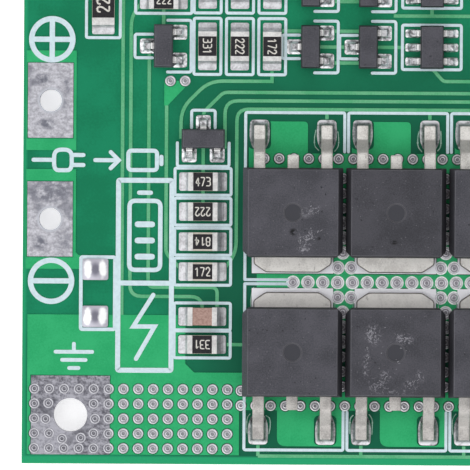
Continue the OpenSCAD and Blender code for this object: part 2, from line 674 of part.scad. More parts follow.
// Tracks as [corner reach, points]
lane_v = [for (n = [0:2]) upper_end_v + lane_gap + n * lane_pitch];
link_v = row_v - link_via_drop;
chip_end = chip_l / 2 + chip_toe / 2;
sense_u = stack_left - sense_step;
line_u = [for (n = [1, 2]) sense_u + line_first + (n - 1) * line_pitch];
stack_line_u = link_vias[0][0] - via_r + track_w / 2;
gate_line_u = column_left + chip_end + gate_line_step;
last_chip_u = row_chip_left + 2 * row_chip_pitch;
filter_line_u = filter_left + row_chip_pitch + filter_line_step;
turn_v = capacitor_v + turn_step;
bend_v = turn_v + turn_pitch;
front_track_v = front_strip - track_w / 6;
tracks = concat([
    [0.3, [[sense_u, row_at(2)], [sense_u, row_v], [sense_u, pour_back_v - chip_toe]]],
    [0.8, [[stack_left - chip_end, row_v + stack_step], [line_u[0], row_v + stack_step - chip_l / 2],
        [line_u[0], turn_v], [column_left, turn_v], [column_left, capacitor_v]]],
    [0.4, [[line_u[1], row_v], [line_u[1], bend_v], [column_left + chip_l / 2, bend_v],
        [column_left + chip_l / 2, capacitor_v]]],
    [0.3, [[stack_line_u, link_v - link_pour_drop], [stack_line_u, column_upper + chip_w],
        [column_left - chip_end, column_upper]]],
    [0.9, [[last_chip_u, link_v], [column_left - loop_step + loop_cut, link_v],
        [column_left - loop_step, link_v - loop_cut], [column_left - loop_step, gate_front]]],
    [0.2, [[last_chip_u, link_v - track_w / 2], [last_chip_u, row_v - chip_end]]],
    [0.3, [[filter_line_u, row_v], [filter_line_u, lane_v[2]], [column_left + lane_cut, lane_v[2]],
        [column_left, lane_v[2] - lane_cut], [column_left, gate_front]]],
    [0.9, [[filter_line_u + lane_pitch, row_at(1)], [filter_line_u + lane_pitch, lane_v[1]],
        [column_left + sot_l / 2, lane_v[1]], [column_left + sot_l / 2, gate_front - sot_w / 2]]],
    [0.8, [[last_u + lead_span / 2, lane_v[0]], [gate_line_u, lane_v[0]], [gate_line_u, column_upper + chip_w],
        [column_left + chip_end, column_upper]]],
    [0.2, [[column_left + chip_end, column_front], [mosfet_left - tab_w / 2, column_front]]],
    [0.2, [[column_left, gate_front], [column_left, column_upper + 2 * column_pitch]]],
    [0.2, [[mosfet_left - lead_span / 2, front_track_v], [last_u - lead_span / 2, front_track_v]]],
    [0.2, [[filter_line_u, row_v], [filter_left, row_v]]],
    [0.6, [[tap_left, tap_v], [tap_left, row_at(2) + tap_line_rise], [sense_u, row_at(2) + chip_l],
        [sense_u, row_at(2)]]],
    [0.6, [[tap_left + tap_pitch, tap_v], [tap_left + tap_pitch, row_at(2) + tap_line_rise],
        [last_chip_u, row_at(2) + chip_l + chip_toe], [last_chip_u, row_at(2)]]],
    [0.2, [[filter_line_u + lane_pitch, row_at(1)], [filter_left, row_at(1)]]]],
    [for (i = [0:columns - 1])
        [0.2, [[column_u(i) - lead_span / 2, front_track_v], [column_u(i) - lead_span / 2, front_lane]]]],
    [for (i = [0:columns - 1])
        [0.2, [[column_u(i) + lead_span / 2, lane_v[0]], [column_u(i) + lead_span / 2, upper_end_v]]]],
    [for (k = [0:stacks - 1]) [0.2, [[stack_left, stack_at(k)], [stack_left, stack_at(k) + stack_step]]]],
    [[0.2, [[monitor_left - monitor_w / 4, row_v - sot_lead_step],
        [monitor_left + monitor_w / 2, row_v - monitor_drop], [filter_left, row_v - monitor_drop],
        [filter_left, row_v - chip_end]]]],
    [for (k = [1:cell_rows - 1], u = [monitor_left, filter_left])
        [0.2, [[u, row_at(k)], [u, row_at(k - 1) + monitor_rise]]]],
    [for (k = [0:cell_rows - 1]) each row_tracks(row_at(k))]);

function row_tracks(v) = [
    [0.2, [[last_chip_u, v + row_track_step], [row_sot_left + row_sot_pitch, v + row_track_step]]],
    [0.2, [[row_sot_left, v], [row_sot_left + row_sot_pitch, v]]],
    [0.2, [[row_sot_left, v - row_track_step], [row_sot_left + row_sot_pitch, v - row_track_step]]],
    [0.2, [[row_sot_left + row_sot_pitch, v], [monitor_left, v]]],
    [0.2, [[monitor_left - 2 * monitor_pad_mid, v + monitor_rise],
        [filter_left + row_chip_pitch, v + monitor_rise], [filter_left + row_chip_pitch, v + chip_end]]]];

module tracks_flat() {
    for (t = tracks) polygon(ribbon(rounded(t[1], t[0]), track_w));
}

// Pieces
module circuit_board() {
    color("seagreen") in_board() linear_extrude(board_t) difference() {
        square([board_w, board_d]);
        for (t = all_terminals) translate([t[0], t[1]]) circle(t[4] / 2 + plating_t);
        vias_flat(via_stem_d / 2);
    }
}

module pours_flat() {
    negative_pour();
    upper_source_pour();
    drain_pour();
    charge_pours();
    right_pours();
    tap_pours();
    link_pour();
}

// Copper stops short of bare metal
module lacquered() {
    on_board() linear_extrude(copper_t) difference() {
        children();
        pads_flat(pad_gap);
        vias_flat(via_r + pad_gap);
    }
}

module power_pours() {
    color("mediumseagreen") lacquered() pours_flat();
}

module signal_tracks() {
    color("darkseagreen") lacquered() difference() {
        tracks_flat();
        pours_flat();
    }
}

module via_plugs() {
    stem = via_stem_d / 2;
    lip = via_lip_d / 2;
    top = board_t + via_ring_h;
    low = top - via_hollow_h;
    floor = top - via_dimple_h;
    section = [[0, 0], [stem, 0], [stem, board_t], [via_r, board_t], [via_r, low],
        [via_r - via_bead_w / 2, top], [via_r - via_bead_w, low], [lip + via_bead_w / 2, low],
        [lip, top], [lip / 2, floor], [0, floor]];
    color("silver") in_board() for (p = via_points) translate(p) rotate_extrude() polygon(section);
}

module terminals(list) {
    color("darkgray") in_board() for (t = list) difference() {
        union() {
            translate([0, 0, board_t]) linear_extrude(pad_t) difference() {
                terminal_flat(t, 0);
                vias_flat(via_r);
            }
            translate([t[0], t[1], 0]) cylinder(h = board_t + pad_t, r = t[4] / 2 + plating_t);
        }
        translate([t[0], t[1], -over]) cylinder(h = board_t + pad_t + 2 * over, r = t[4] / 2);
    }
}

module charge_terminals() {
    terminals(charge_terminals_at);
}

module battery_terminals() {
    terminals(battery_terminals_at);
}

module discharge_terminals() {
    terminals(discharge_terminals_at);
}

module tap_terminals() {
    terminals(tap_terminals_at);
}

// Power transistor, leads towards +Y and tab towards -Y, standing on its solder
module tab_plate() {
    w = tab_w / 2;
    half = [[w, tab_inner], [w, tab_corner_l - tab_end], [w - tab_corner_w, -tab_end]];
    linear_extrude(tab_t) polygon(rounded(both_ways(half), tab_corner_r));
}

module long_lead() {
    low = lead_t / 2;
    level = mosfet_l / 2 + lead_shoulder;
    path = [[mosfet_l / 2 - lead_root, lead_exit_h], [level, lead_exit_h],
        [foot_end - lead_foot, low], [foot_end, low]];
    across(lead_w) polygon(ribbon(rounded(path, lead_t / 2), lead_t));
}

module cut_lead() {
    inner = mosfet_l / 2 - lead_root;
    across(lead_w) translate([inner, lead_exit_h - lead_t / 2]) square([lead_root + stub_out, lead_t]);
}

module mosfet_metal() {
    tab_plate();
    for (s = [-1, 1]) translate([s * lead_span / 2, 0, 0]) long_lead();
    cut_lead();
}

module mosfet_body() {
    w = mosfet_w / 2;
    l = mosfet_l / 2;
    difference() {
        intersection() {
            moulded(mosfet_w, mosfet_l, mosfet_h, lead_exit_h, mosfet_draft, mosfet_end_draft);
            linear_extrude(mosfet_h) polygon(both_ways([[w, l], [w, mosfet_cut - l], [w - mosfet_cut, -l]]));
        }
        mosfet_metal();
        translate([0, 0, mosfet_h - mosfet_mark_h]) cylinder(h = over, d = mosfet_mark_d);
    }
}

module at_mosfet(i, row) {
    on_board() at([column_u(i), row[0], row[1]]) translate([0, 0, solder_t]) children();
}

module power_body(i, row) {
    color("dimgray") at_mosfet(i, row) mosfet_body();
}

module power_leads(i, row) {
    color("lightgray") at_mosfet(i, row) mosfet_metal();
}

// Plan of the solder round a long lead's foot: round at the end, full beside the foot, narrow at the heel
module lead_pool_flat() {
    toe = foot_end + lead_toe;
    w = lead_pool_w / 2;
    end = corner([0, toe], [w, toe], [w, foot_heel], lead_pad_r);
    flank = curve([w, toe - lead_pad_r], [w + lead_pool_out, foot_end - lead_foot],
        [lead_pool_heel_w / 2, foot_heel]);
    polygon(both_ways(concat(end, [for (i = [1:curve_steps]) flank[i]])));
}

// Solder stops at the vias that it runs up to
module power_solder() {
    color("gainsboro") on_board() {
        linear_extrude(solder_t) difference() {
            at_mosfets() tab_pad_flat(0);
            vias_flat(via_r);
        }
        at_mosfets() {
            end_w = tab_w - 2 * tab_corner_w;
            rotate(180) solder_foot(tab_inner, tab_end, tab_end + $tab_margin, tab_rise, end_w, $tab_margin);
            for (s = [-1, 1]) translate([s * lead_span / 2, 0, 0]) difference() {
                solder_heap(foot_heel, foot_end - lead_foot, foot_end, foot_end + lead_toe,
                    solder_t + lead_rise, lead_pad_w, lead_w) lead_pool_flat();
                translate([0, 0, solder_t]) long_lead();
            }
        }
    }
}

// Small gull-wing lead towards +Y
module small_lead(half_w, h, reach) {
    low = sot_lead_t / 2;
    path = [[half_w - sot_root, h / 2], [half_w + sot_shoulder, h / 2], [reach - sot_foot, low], [reach, low]];
    across(sot_lead_w) polygon(ribbon(rounded(path, sot_lead_t / 2), sot_lead_t));
}

module sot_metal() {
    small_lead(sot_w / 2, sot_h, sot_reach);
    for (s = [-1, 1]) translate([s * sot_lead_step, 0, 0]) rotate(180) small_lead(sot_w / 2, sot_h, sot_reach);
}

module monitor_metal() {
    for (n = [-1:1], turn = [0, 180]) translate([n * sot_lead_step, 0, 0]) rotate(turn)
        small_lead(monitor_w / 2, monitor_h, monitor_reach);
}

module small_body(i) {
    high = sot_h - sot_gap;
    color("dimgray") on_board() at(sots[i]) translate([0, 0, solder_t]) difference() {
        translate([0, 0, sot_gap]) moulded(sot_l, sot_w, high, sot_h / 2, sot_draft, sot_draft);
        sot_metal();
    }
}

module small_leads(i) {
    color("lightgray") on_board() at(sots[i]) translate([0, 0, solder_t]) sot_metal();
}

module monitor_body(i) {
    high = monitor_h - sot_gap;
    color("dimgray") on_board() at(monitors[i]) translate([0, 0, solder_t]) difference() {
        translate([0, 0, sot_gap]) moulded(sot_l, monitor_w, high, monitor_h / 2, sot_draft, sot_draft);
        monitor_metal();
    }
}

module monitor_leads(i) {
    color("lightgray") on_board() at(monitors[i]) translate([0, 0, solder_t]) monitor_metal();
}

// Solder heaped over the foot of a small lead
module small_joint(half_w, h, reach, mid, long, width) {
    heel = mid - long / 2;
    difference() {
        solder_heap(heel, reach - sot_foot, reach, heel + long, solder_t + sot_rise, width, sot_lead_w)
            translate([0, mid]) round_pad(width, long, sot_pad_r);
        translate([0, 0, solder_t]) small_lead(half_w, h, reach);
    }
}

module transistor_solder() {
    color("gainsboro") on_board() {
        for (c = sots, p = [[0, 0], [-sot_lead_step, 180], [sot_lead_step, 180]])
            at(c) translate([p[0], 0, 0]) rotate(p[1])
                small_joint(sot_w / 2, sot_h, sot_reach, sot_pad_mid, sot_pad, sot_pad);
        for (c = monitors, n = [-1:1], turn = [0, 180]) at(c) translate([n * sot_lead_step, 0, 0]) rotate(turn)
            small_joint(monitor_w / 2, monitor_h, monitor_reach, monitor_pad_mid, monitor_pad_l, monitor_pad_w);
    }
}

// Chips lie along X, standing on their solder
module chip_core(l, w, h, inset) {
    translate([0, 0, h / 2]) cube([l - 2 * cap_t, w - 2 * inset, h - 2 * cap_t], center = true);
}

module chip_coat(l, w, h, band, margin) {
    translate([0, 0, h - cap_t + coat_t / 2]) cube([l - 2 * band, w - 2 * margin, coat_t], center = true);
}

module chip_caps(l, w, h, band, inset) {
    for (s = [-1, 1]) difference() {
        translate([s * (l - band) / 2, 0, h / 2]) cube([band, w, h], center = true);
        chip_core(l, w, h, inset);
    }
}

module stand(list) {
    on_board() for (c = list) at(c) translate([0, 0, solder_t]) {
        $margin = c[3];
        children();
    }
}

module resistor_bodies() {
    color("black") stand(resistors) {
        chip_core(chip_l, chip_w, resistor_h, 0);
        chip_coat(chip_l, chip_w, resistor_h, chip_band, $margin);
    }
}

module resistor_caps() {
    color("white") stand(resistors) chip_caps(chip_l, chip_w, resistor_h, chip_band, 0);
}

module bleed_resistor_bodies() {
    color("black") stand(bleeds) {
        chip_core(bleed_l, bleed_w, bleed_h, 0);
        chip_coat(bleed_l, bleed_w, bleed_h, bleed_band, $margin);
    }
}

module bleed_resistor_caps() {
    color("white") stand(bleeds) chip_caps(bleed_l, bleed_w, bleed_h, bleed_band, 0);
}

module capacitor_bodies() {
    color("rosybrown") stand(capacitors) chip_core(chip_l, chip_w, capacitor_h, cap_t);
}

module capacitor_caps() {
    color("white") stand(capacitors) chip_caps(chip_l, chip_w, capacitor_h, chip_band, cap_t);
}

module chip_solder_pair(l, w, band) {
    for (turn = [-90, 90]) rotate(turn)
        solder_foot(l / 2 - band, l / 2, l / 2 + chip_toe, chip_rise, w, chip_pad_r);
}

// Solder domed over a bare pad, down to its edge height at the corners
module spare_pad() {
    reach = norm([spare_l, spare_w]) / 2;
    rise = spare_h - solder_edge_h;
    dome_r = (reach * reach + rise * rise) / (2 * rise);
    intersection() {
        linear_extrude(spare_h) round_pad(spare_l, spare_w, chip_pad_r);
        translate([0, 0, spare_h - dome_r]) sphere(dome_r, $fn = dome_steps);
    }
}

module chip_solder() {
    color("gainsboro") on_board() {
        for (c = concat(resistors, capacitors)) at(c) chip_solder_pair(chip_l, chip_w, chip_band);
        for (c = bleeds) at(c) chip_solder_pair(bleed_l, bleed_w, bleed_band);
        for (k = [0, 1]) translate([spare_left, spare_front + k * spare_pitch, 0]) spare_pad();
    }
}

// Node names: repeated pieces are numbered from the left and the front
power_sides = ["upper", "lower"];
function power_name(i, side, what) = str(side, "_mosfet_", i + 1, "_", what);
function small_name(i, what) = str("transistor_", i + 1, "_", what);
function monitor_name(i, what) = str("cell_monitor_", i + 1, "_", what);
POWER_NODES = [for (s = power_sides, i = [0:columns - 1], w = ["body", "leads"]) power_name(i, s, w)];
SMALL_NODES = [for (i = [0:len(sots) - 1], w = ["body", "leads"]) small_name(i, w)];
MONITOR_NODES = [for (i = [0:cell_rows - 1], w = ["body", "leads"]) monitor_name(i, w)];

circuit_board();
power_pours();
signal_tracks();
via_plugs();
charge_terminals();
battery_terminals();
discharge_terminals();
tap_terminals();
power_solder();
transistor_solder();
chip_solder();
resistor_bodies();
resistor_caps();
bleed_resistor_bodies();
bleed_resistor_caps();
capacitor_bodies();
capacitor_caps();
for (i = [0:columns - 1], r = [0, 1]) {
    power_body(i, mosfet_rows[r]);
    power_leads(i, mosfet_rows[r]);
}
for (i = [0:len(sots) - 1]) {
    small_body(i);
    small_leads(i);
}
for (i = [0:cell_rows - 1]) {
    monitor_body(i);
    monitor_leads(i);
}
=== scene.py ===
import math
import random

import bpy
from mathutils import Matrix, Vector


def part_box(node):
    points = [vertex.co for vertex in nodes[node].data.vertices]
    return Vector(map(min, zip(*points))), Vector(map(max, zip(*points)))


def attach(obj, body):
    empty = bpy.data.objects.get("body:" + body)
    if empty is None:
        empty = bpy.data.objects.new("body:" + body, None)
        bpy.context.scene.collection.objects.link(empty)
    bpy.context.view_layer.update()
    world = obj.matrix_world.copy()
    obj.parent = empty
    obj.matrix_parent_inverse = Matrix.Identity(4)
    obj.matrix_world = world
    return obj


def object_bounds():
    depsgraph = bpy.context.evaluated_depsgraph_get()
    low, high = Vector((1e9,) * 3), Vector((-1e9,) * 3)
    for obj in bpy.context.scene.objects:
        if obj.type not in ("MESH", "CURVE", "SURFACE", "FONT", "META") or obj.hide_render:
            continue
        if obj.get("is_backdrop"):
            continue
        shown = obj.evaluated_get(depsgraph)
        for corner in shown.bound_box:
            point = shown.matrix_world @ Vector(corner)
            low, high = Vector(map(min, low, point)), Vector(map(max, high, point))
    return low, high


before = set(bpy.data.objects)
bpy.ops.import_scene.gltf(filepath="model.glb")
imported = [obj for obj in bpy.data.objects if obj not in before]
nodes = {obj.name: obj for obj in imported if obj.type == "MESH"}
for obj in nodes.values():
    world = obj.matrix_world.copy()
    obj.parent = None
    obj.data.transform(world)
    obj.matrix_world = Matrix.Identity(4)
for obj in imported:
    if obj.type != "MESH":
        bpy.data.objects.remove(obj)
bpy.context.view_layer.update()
mm = 0.001
weldReach = 1e-7  # m, points closer than this are one
boardLow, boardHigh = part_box("circuit_board")
print("frame loaded with", len(nodes), "nodes")


# Places are in millimetres from the board's front left corner, heights in millimetres over its top face
def spot(u, v, h=0.0):
    return Vector((boardLow.x + u * mm, boardLow.y + v * mm, boardHigh.z + h * mm))


def boardPlace(point):
    return (point.x - boardLow.x) / mm, (point.y - boardLow.y) / mm


def nodeMiddle(name):
    low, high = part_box(name)
    return boardPlace((low + high) / 2)


def topHeight(name):
    return (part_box(name)[1].z - boardHigh.z) / mm


rowSeam = (nodeMiddle("upper_mosfet_1_body")[1] + nodeMiddle("lower_mosfet_1_body")[1]) / 2


# The separate pieces in one node, each as (middle u, middle v, size u, size v)
def islands(name):
    mesh = nodes[name].data
    keys = [tuple(round(part / weldReach) for part in vertex.co) for vertex in mesh.vertices]
    owner = {key: key for key in keys}

    def top(key):
        while owner[key] != key:
            owner[key] = owner[owner[key]]
            key = owner[key]
        return key

    for edge in mesh.edges:
        first, second = (top(keys[index]) for index in edge.vertices)
        owner[first] = second
    groups = {}
    for key, vertex in zip(keys, mesh.vertices):
        groups.setdefault(top(key), []).append(vertex.co)
    found = []
    for points in groups.values():
        us, vs = zip(*(boardPlace(point) for point in points))
        middle = (min(us) + max(us)) / 2, (min(vs) + max(vs)) / 2
        found.append((*middle, max(us) - min(us), max(vs) - min(vs)))
    return sorted(found)


# Shader tools
def tint(red, green, blue):  # a colour as the screen shows it, 0 to 255
    parts = [part / 255 for part in (red, green, blue)]
    return tuple(part / 12.92 if part < 0.04045 else ((part + 0.055) / 1.055) ** 2.4 for part in parts) + (1,)


class Wire:  # a socket that can stand in a sum
    def __init__(self, maker, socket):
        self.maker = maker
        self.socket = socket

    def sum(self, operation, first, second):
        return self.maker.node("ShaderNodeMath", {"operation": operation}, {0: first, 1: second})

    def __add__(self, other):
        return self.sum("ADD", self, other)

    def __sub__(self, other):
        return self.sum("SUBTRACT", self, other)

    def __rsub__(self, other):
        return self.sum("SUBTRACT", other, self)

    def __mul__(self, other):
        return self.sum("MULTIPLY", self, other)

    def __abs__(self):
        return self.maker.node("ShaderNodeMath", {"operation": "ABSOLUTE"}, {0: self})

    def atMost(self, other):
        return self.sum("MINIMUM", self, other)

    def atLeast(self, other):
        return self.sum("MAXIMUM", self, other)

    __radd__ = __add__
    __rmul__ = __mul__


class NodeTree:  # the nodes of a material or of the world, with a place for each point
    def __init__(self, owner, coordinates):
        owner.use_nodes = True
        self.tree = owner.node_tree
        self.place = self.node("ShaderNodeTexCoord", output=coordinates)

    def node(self, kind, settings=None, sockets=None, output=0):
        made = self.tree.nodes.new(kind)
        for key, value in (settings or {}).items():
            setattr(made, key, value)
        for key, value in (sockets or {}).items():
            self.feed(made.inputs[key], value)
        return Wire(self, made.outputs[output])

    def feed(self, socket, value):
        if isinstance(value, Wire):
            self.tree.links.new(value.socket, socket)
        else:
            socket.default_value = value

    def fade(self, value, low, high):  # 0 at low, 1 at high, smooth between
        settings = {"interpolation_type": "SMOOTHSTEP"}
        return self.node("ShaderNodeMapRange", settings, {"Value": value, "From Min": low, "From Max": high})

    def vector(self, operation, first, second, output=0):
        return self.node("ShaderNodeVectorMath", {"operation": operation}, {0: first, 1: second}, output)

    def axis(self, name, vector=None):
        return self.node("ShaderNodeSeparateXYZ", None, {0: vector or self.place}, name)


class Finish(NodeTree):  # a material built up node by node, with sizes and depths in millimetres
    def __init__(self, name, **fixed):
        self.material = bpy.data.materials.new(name)
        super().__init__(self.material, "Object")
        self.surface = self.tree.nodes["Principled BSDF"]
        self.paint(**fixed)

    def noise(self, size, detail=3, rough=0.5, stretch=(1, 1, 1)):
        scaled = self.vector("MULTIPLY", self.place, stretch)
        sockets = {"Vector": scaled, "Scale": 1 / (size * mm), "Detail": detail, "Roughness": rough}
        return self.node("ShaderNodeTexNoise", None, sockets, "Fac")

    def grains(self, size):
        sockets = {"Vector": self.place, "Scale": 1 / (size * mm)}
        return self.node("ShaderNodeTexVoronoi", None, sockets, "Distance")

    def mottle(self, first, second, share=0.6, levels=(0.36, 0.62)):  # patches of two mixed noises
        return self.fade(first * share + second * (1 - share), *levels)

    def blend(self, factor, first, second):  # a colour mix, whose colours are inputs 6 and 7 and output 2
        return self.node("ShaderNodeMix", {"data_type": "RGBA"}, {0: factor, 6: first, 7: second}, 2)

    def facing(self):  # how far the surface looks up or down
        return abs(self.axis("Z", self.node("ShaderNodeNewGeometry", output="Normal")))

    # The next five give 0 at a start and 1 where they are full
    def height(self, start, full):
        return self.fade(self.axis("Z"), spot(0, 0, start).z, spot(0, 0, full).z)

    def underTop(self, name, start, full):  # depths under a node's top face
        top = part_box(name)[1].z
        return self.fade(self.axis("Z"), top - start * mm, top - full * mm)

    def acrossU(self, start, full):
        return self.fade(self.axis("X"), spot(start, 0).x, spot(full, 0).x)

    def acrossV(self, start, full):
        return self.fade(self.axis("Y"), spot(0, start).y, spot(0, full).y)

    def fromSeam(self, start, full):  # distances from the line between the two rows of power transistors
        return self.fade(abs(self.axis("Y") - spot(0, rowSeam).y), start * mm, full * mm)

    def near(self, point, reach, full=0.3):  # 0 at a reach (u, v) from a board place, 1 at a share of it
        away = self.vector("SUBTRACT", self.place, spot(*point))
        flat = self.vector("MULTIPLY", away, (1 / (reach[0] * mm), 1 / (reach[1] * mm), 0))
        length = self.node("ShaderNodeVectorMath", {"operation": "LENGTH"}, {0: flat}, "Value")
        return self.fade(length, 1.0, full)

    def rough(self, height, depth, strength=1.0):
        sockets = {"Height": height, "Distance": depth * mm, "Strength": strength}
        self.paint(Normal=self.node("ShaderNodeBump", None, sockets, "Normal"))

    def paint(self, **inputs):
        for key, value in inputs.items():
            self.feed(self.surface.inputs[key.replace("_", " ")], value)
        return self.material


# Finishes, where a pair of numbers in a look says where a fade starts and where it is full
def boardLacquer():
    look = {"dark": tint(14, 116, 80), "light": tint(20, 130, 91), "deep": tint(14, 93, 67),
            "deepU": (8, 14), "deepV": (32, 22), "rim": tint(36, 156, 106), "frontRim": (0.62, 0.4),
            "leftRim": (0.35, 0.15), "leftWeight": 0.7, "core": tint(168, 170, 120),
            "fibre": tint(126, 136, 92), "fibreLevels": (0.4, 0.6), "fibreStretch": (0.2, 0.2, 4),
            "sideFacing": (0.7, 0.3)}
    finish = Finish("boardLacquer", Specular_IOR_Level=0.15)
    cloud = finish.noise(size=2.6, detail=4)
    grain = finish.noise(size=0.16, detail=2)
    patches = finish.mottle(cloud, grain, share=0.7, levels=(0.36, 0.64))
    green = finish.blend(patches, look["dark"], look["light"])
    green = finish.blend(finish.acrossU(*look["deepU"]) * finish.acrossV(*look["deepV"]), green, look["deep"])
    rim = finish.acrossV(*look["frontRim"]).atLeast(finish.acrossU(*look["leftRim"]) * look["leftWeight"])
    green = finish.blend(rim, green, look["rim"])
    threads = finish.noise(size=0.2, detail=2, stretch=look["fibreStretch"])
    edge = finish.blend(finish.fade(threads, *look["fibreLevels"]), look["core"], look["fibre"])
    side = finish.fade(finish.facing(), *look["sideFacing"])
    finish.rough(grain, depth=0.004, strength=0.4)
    return finish.paint(Base_Color=finish.blend(side, green, edge), Roughness=0.38 + side * 0.4)


def copperLacquer(name, dark, light):
    finish = Finish(name, Specular_IOR_Level=0.2)
    cloud = finish.noise(size=1.8, detail=4)
    grain = finish.noise(size=0.12, detail=2)
    patches = finish.mottle(cloud, grain, levels=(0.36, 0.64))
    finish.rough(grain, depth=0.004, strength=0.4)
    return finish.paint(Base_Color=finish.blend(patches, dark, light), Roughness=0.34 + patches * 0.1)


def printWhite(name, dark, light):
    finish = Finish(name, Specular_IOR_Level=0.2)
    grain = finish.noise(size=0.22)
    ink = finish.blend(finish.fade(grain, low=0.25, high=0.7), dark, light)
    return finish.paint(Base_Color=ink, Roughness=0.6 + grain * 0.1)


# Smudges and glints are (middle, reach, weight) on the pads, the glints being painted highlights,
# rims the middles of holes with a bright edge
def tinnedPad(name, dark, light, smudge, smudges=(), glints=(), rims=()):
    look = {"dirt": (0.54, 0.68), "dirtWeight": 0.6, "patches": (0.3, 0.6),
            "rim": tint(190, 192, 200), "rimReach": (0.98, 0.98), "rimFull": 0.8}
    finish = Finish(name, Specular_IOR_Level=0.4)
    streaks = finish.noise(size=0.4, detail=5, rough=0.6, stretch=(1.0, 1.5, 1))
    scuffs = finish.noise(size=0.14, detail=4, rough=0.6)
    patchy = finish.fade(finish.noise(size=0.45, detail=4, rough=0.6), *look["patches"])
    dirt = finish.fade(finish.noise(size=1.5), *look["dirt"]) * look["dirtWeight"]
    for middle, reach, weight in smudges:
        dirt = dirt.atLeast(finish.near(middle, reach) * patchy * weight)
    wearAndGlints = finish.mottle(streaks, scuffs, levels=(0.36, 0.64))
    # painted highlights: lighter patches added on top of the real wear
    for middle, reach, weight in glints:
        wearAndGlints = wearAndGlints + finish.near(middle, reach) * weight
    tin = finish.blend(wearAndGlints.atMost(1), dark, light)
    tin = finish.blend(dirt, tin, smudge)
    for middle in rims:
        tin = finish.blend(finish.near(middle, look["rimReach"], look["rimFull"]), tin, look["rim"])
    finish.rough(scuffs, depth=0.012, strength=0.5)
    return finish.paint(Base_Color=tin, Metallic=0.35 - dirt * 0.2, Roughness=0.42 + streaks * 0.2)


def solderBright(name, dark, light, metal, gloss):
    finish = Finish(name, Metallic=metal)
    flow = finish.noise(size=0.55)
    pits = finish.noise(size=0.14, detail=2)
    finish.rough(flow, depth=0.01)
    return finish.paint(Base_Color=finish.blend(finish.mottle(flow, pits), dark, light),
                        Roughness=gloss + pits * 0.1)


# The bare pads by the charge terminals are cleaner than the joints, with painted shade in the middle
# and a painted highlight as a lobe on either side
def jointSolder():
    look = {"dark": tint(170, 169, 172), "light": tint(208, 208, 211), "bare": tint(186, 183, 194),
            "barePlace": (5, 11.6), "bareReach": (4.5, 7), "shade": tint(122, 120, 134),
            "shadeReach": (0.5, 0.66), "highlightLobe": tint(255, 255, 255), "lobeSide": 0.51,
            "lobeReach": (0.52, 1.1), "lobeLevels": (0.7, 1.2), "lobeWaves": 0.9}
    finish = Finish("jointSolder")
    flow = finish.noise(size=0.55)
    pits = finish.noise(size=0.14, detail=2)
    dull = finish.blend(finish.mottle(flow, pits), look["dark"], look["light"])
    bare = look["bare"]
    padU, padV = look["barePlace"]
    reachU, reachV = look["bareReach"]
    pads = [(u, v) for u, v, *_ in islands("chip_solder")
            if abs(u - padU) < reachU and abs(v - padV) < reachV]
    for u, v in pads:
        # painted shade in the middle of each bare pad
        bare = finish.blend(finish.near((u, v), look["shadeReach"]), bare, look["shade"])
        for side in (-1, 1):
            # painted highlight, one lobe on either side of each bare pad
            highlightLobe = finish.near((u + side * look["lobeSide"], v), look["lobeReach"], full=0)
            highlightLobe = finish.fade(highlightLobe + flow * look["lobeWaves"], *look["lobeLevels"])
            bare = finish.blend(highlightLobe, bare, look["highlightLobe"])
    clean = finish.near(look["barePlace"], look["bareReach"])
    finish.rough(flow, depth=0.012)
    return finish.paint(Base_Color=finish.blend(clean, dull, bare), Metallic=0.65 - clean * 0.3,
                        Roughness=0.26 + pits * 0.1 + clean * 0.1)


# Solder of a via is bright on its bead and grey in its hollow, as painted highlight and painted shade,
# brightest by the power transistors, with painted glints there, and dull where a pad is tinned over it
def viaSolder():
    look = {"hollow": tint(166, 166, 171), "bead": tint(208, 208, 212), "beadHeight": (0.062, 0.084),
            "rowHollowShade": tint(160, 157, 164), "rowBeadHighlight": tint(234, 232, 238), "rowStart": (14, 15),
            "rowEnd": (46, 45), "padHollowShade": tint(128, 127, 135), "padBeadHighlight": tint(204, 203, 209),
            "leftPad": (6.0, 5.9), "rightPad": (46, 47), "padBack": (6.05, 5.95),
            "glint": tint(255, 255, 255), "glintSeam": (7.5, 8.5), "glintWeight": 0.7}
    finish = Finish("viaSolder")
    pits = finish.noise(size=0.14, rough=0.6)
    bead = finish.height(*look["beadHeight"]) * (0.5 + pits).atMost(1)
    inRow = finish.acrossU(*look["rowStart"]) * finish.acrossU(*look["rowEnd"])
    inPad = finish.acrossU(*look["leftPad"]).atLeast(finish.acrossU(*look["rightPad"]))
    inPad = inPad * finish.acrossV(*look["padBack"])
    # painted highlight on the bead and painted shade in the hollow
    solder = finish.blend(bead, look["hollow"], look["bead"])
    # a brighter painted highlight on the vias between the power transistors
    solder = finish.blend(inRow, solder, finish.blend(bead, look["rowHollowShade"], look["rowBeadHighlight"]))
    # painted glints on the beads of the vias far from the seam
    glint = finish.fromSeam(*look["glintSeam"]) * inRow * bead * look["glintWeight"]
    solder = finish.blend(glint, solder, look["glint"])
    solder = finish.blend(inPad, solder, finish.blend(bead, look["padHollowShade"], look["padBeadHighlight"]))
    finish.rough(pits, depth=0.005)
    return finish.paint(Base_Color=solder, Metallic=0.55 - inPad.atLeast(inRow) * 0.25,
                        Roughness=0.28 + pits * 0.1)


# Lumpy solder on the small leads, with its reflections painted in light and dark patches
def dabSolder():
    look = {"dark": tint(136, 135, 138), "light": tint(238, 238, 241)}
    finish = Finish("dabSolder", Metallic=0.75)
    lumps = finish.noise(size=0.4, detail=2)
    pits = finish.noise(size=0.14, detail=2)
    # light and dark patches of painted reflection
    patches = finish.mottle(lumps, pits, share=0.7, levels=(0.38, 0.58))
    finish.rough(lumps, depth=0.07)
    return finish.paint(Base_Color=finish.blend(patches, look["dark"], look["light"]),
                        Roughness=0.25 + pits * 0.1)
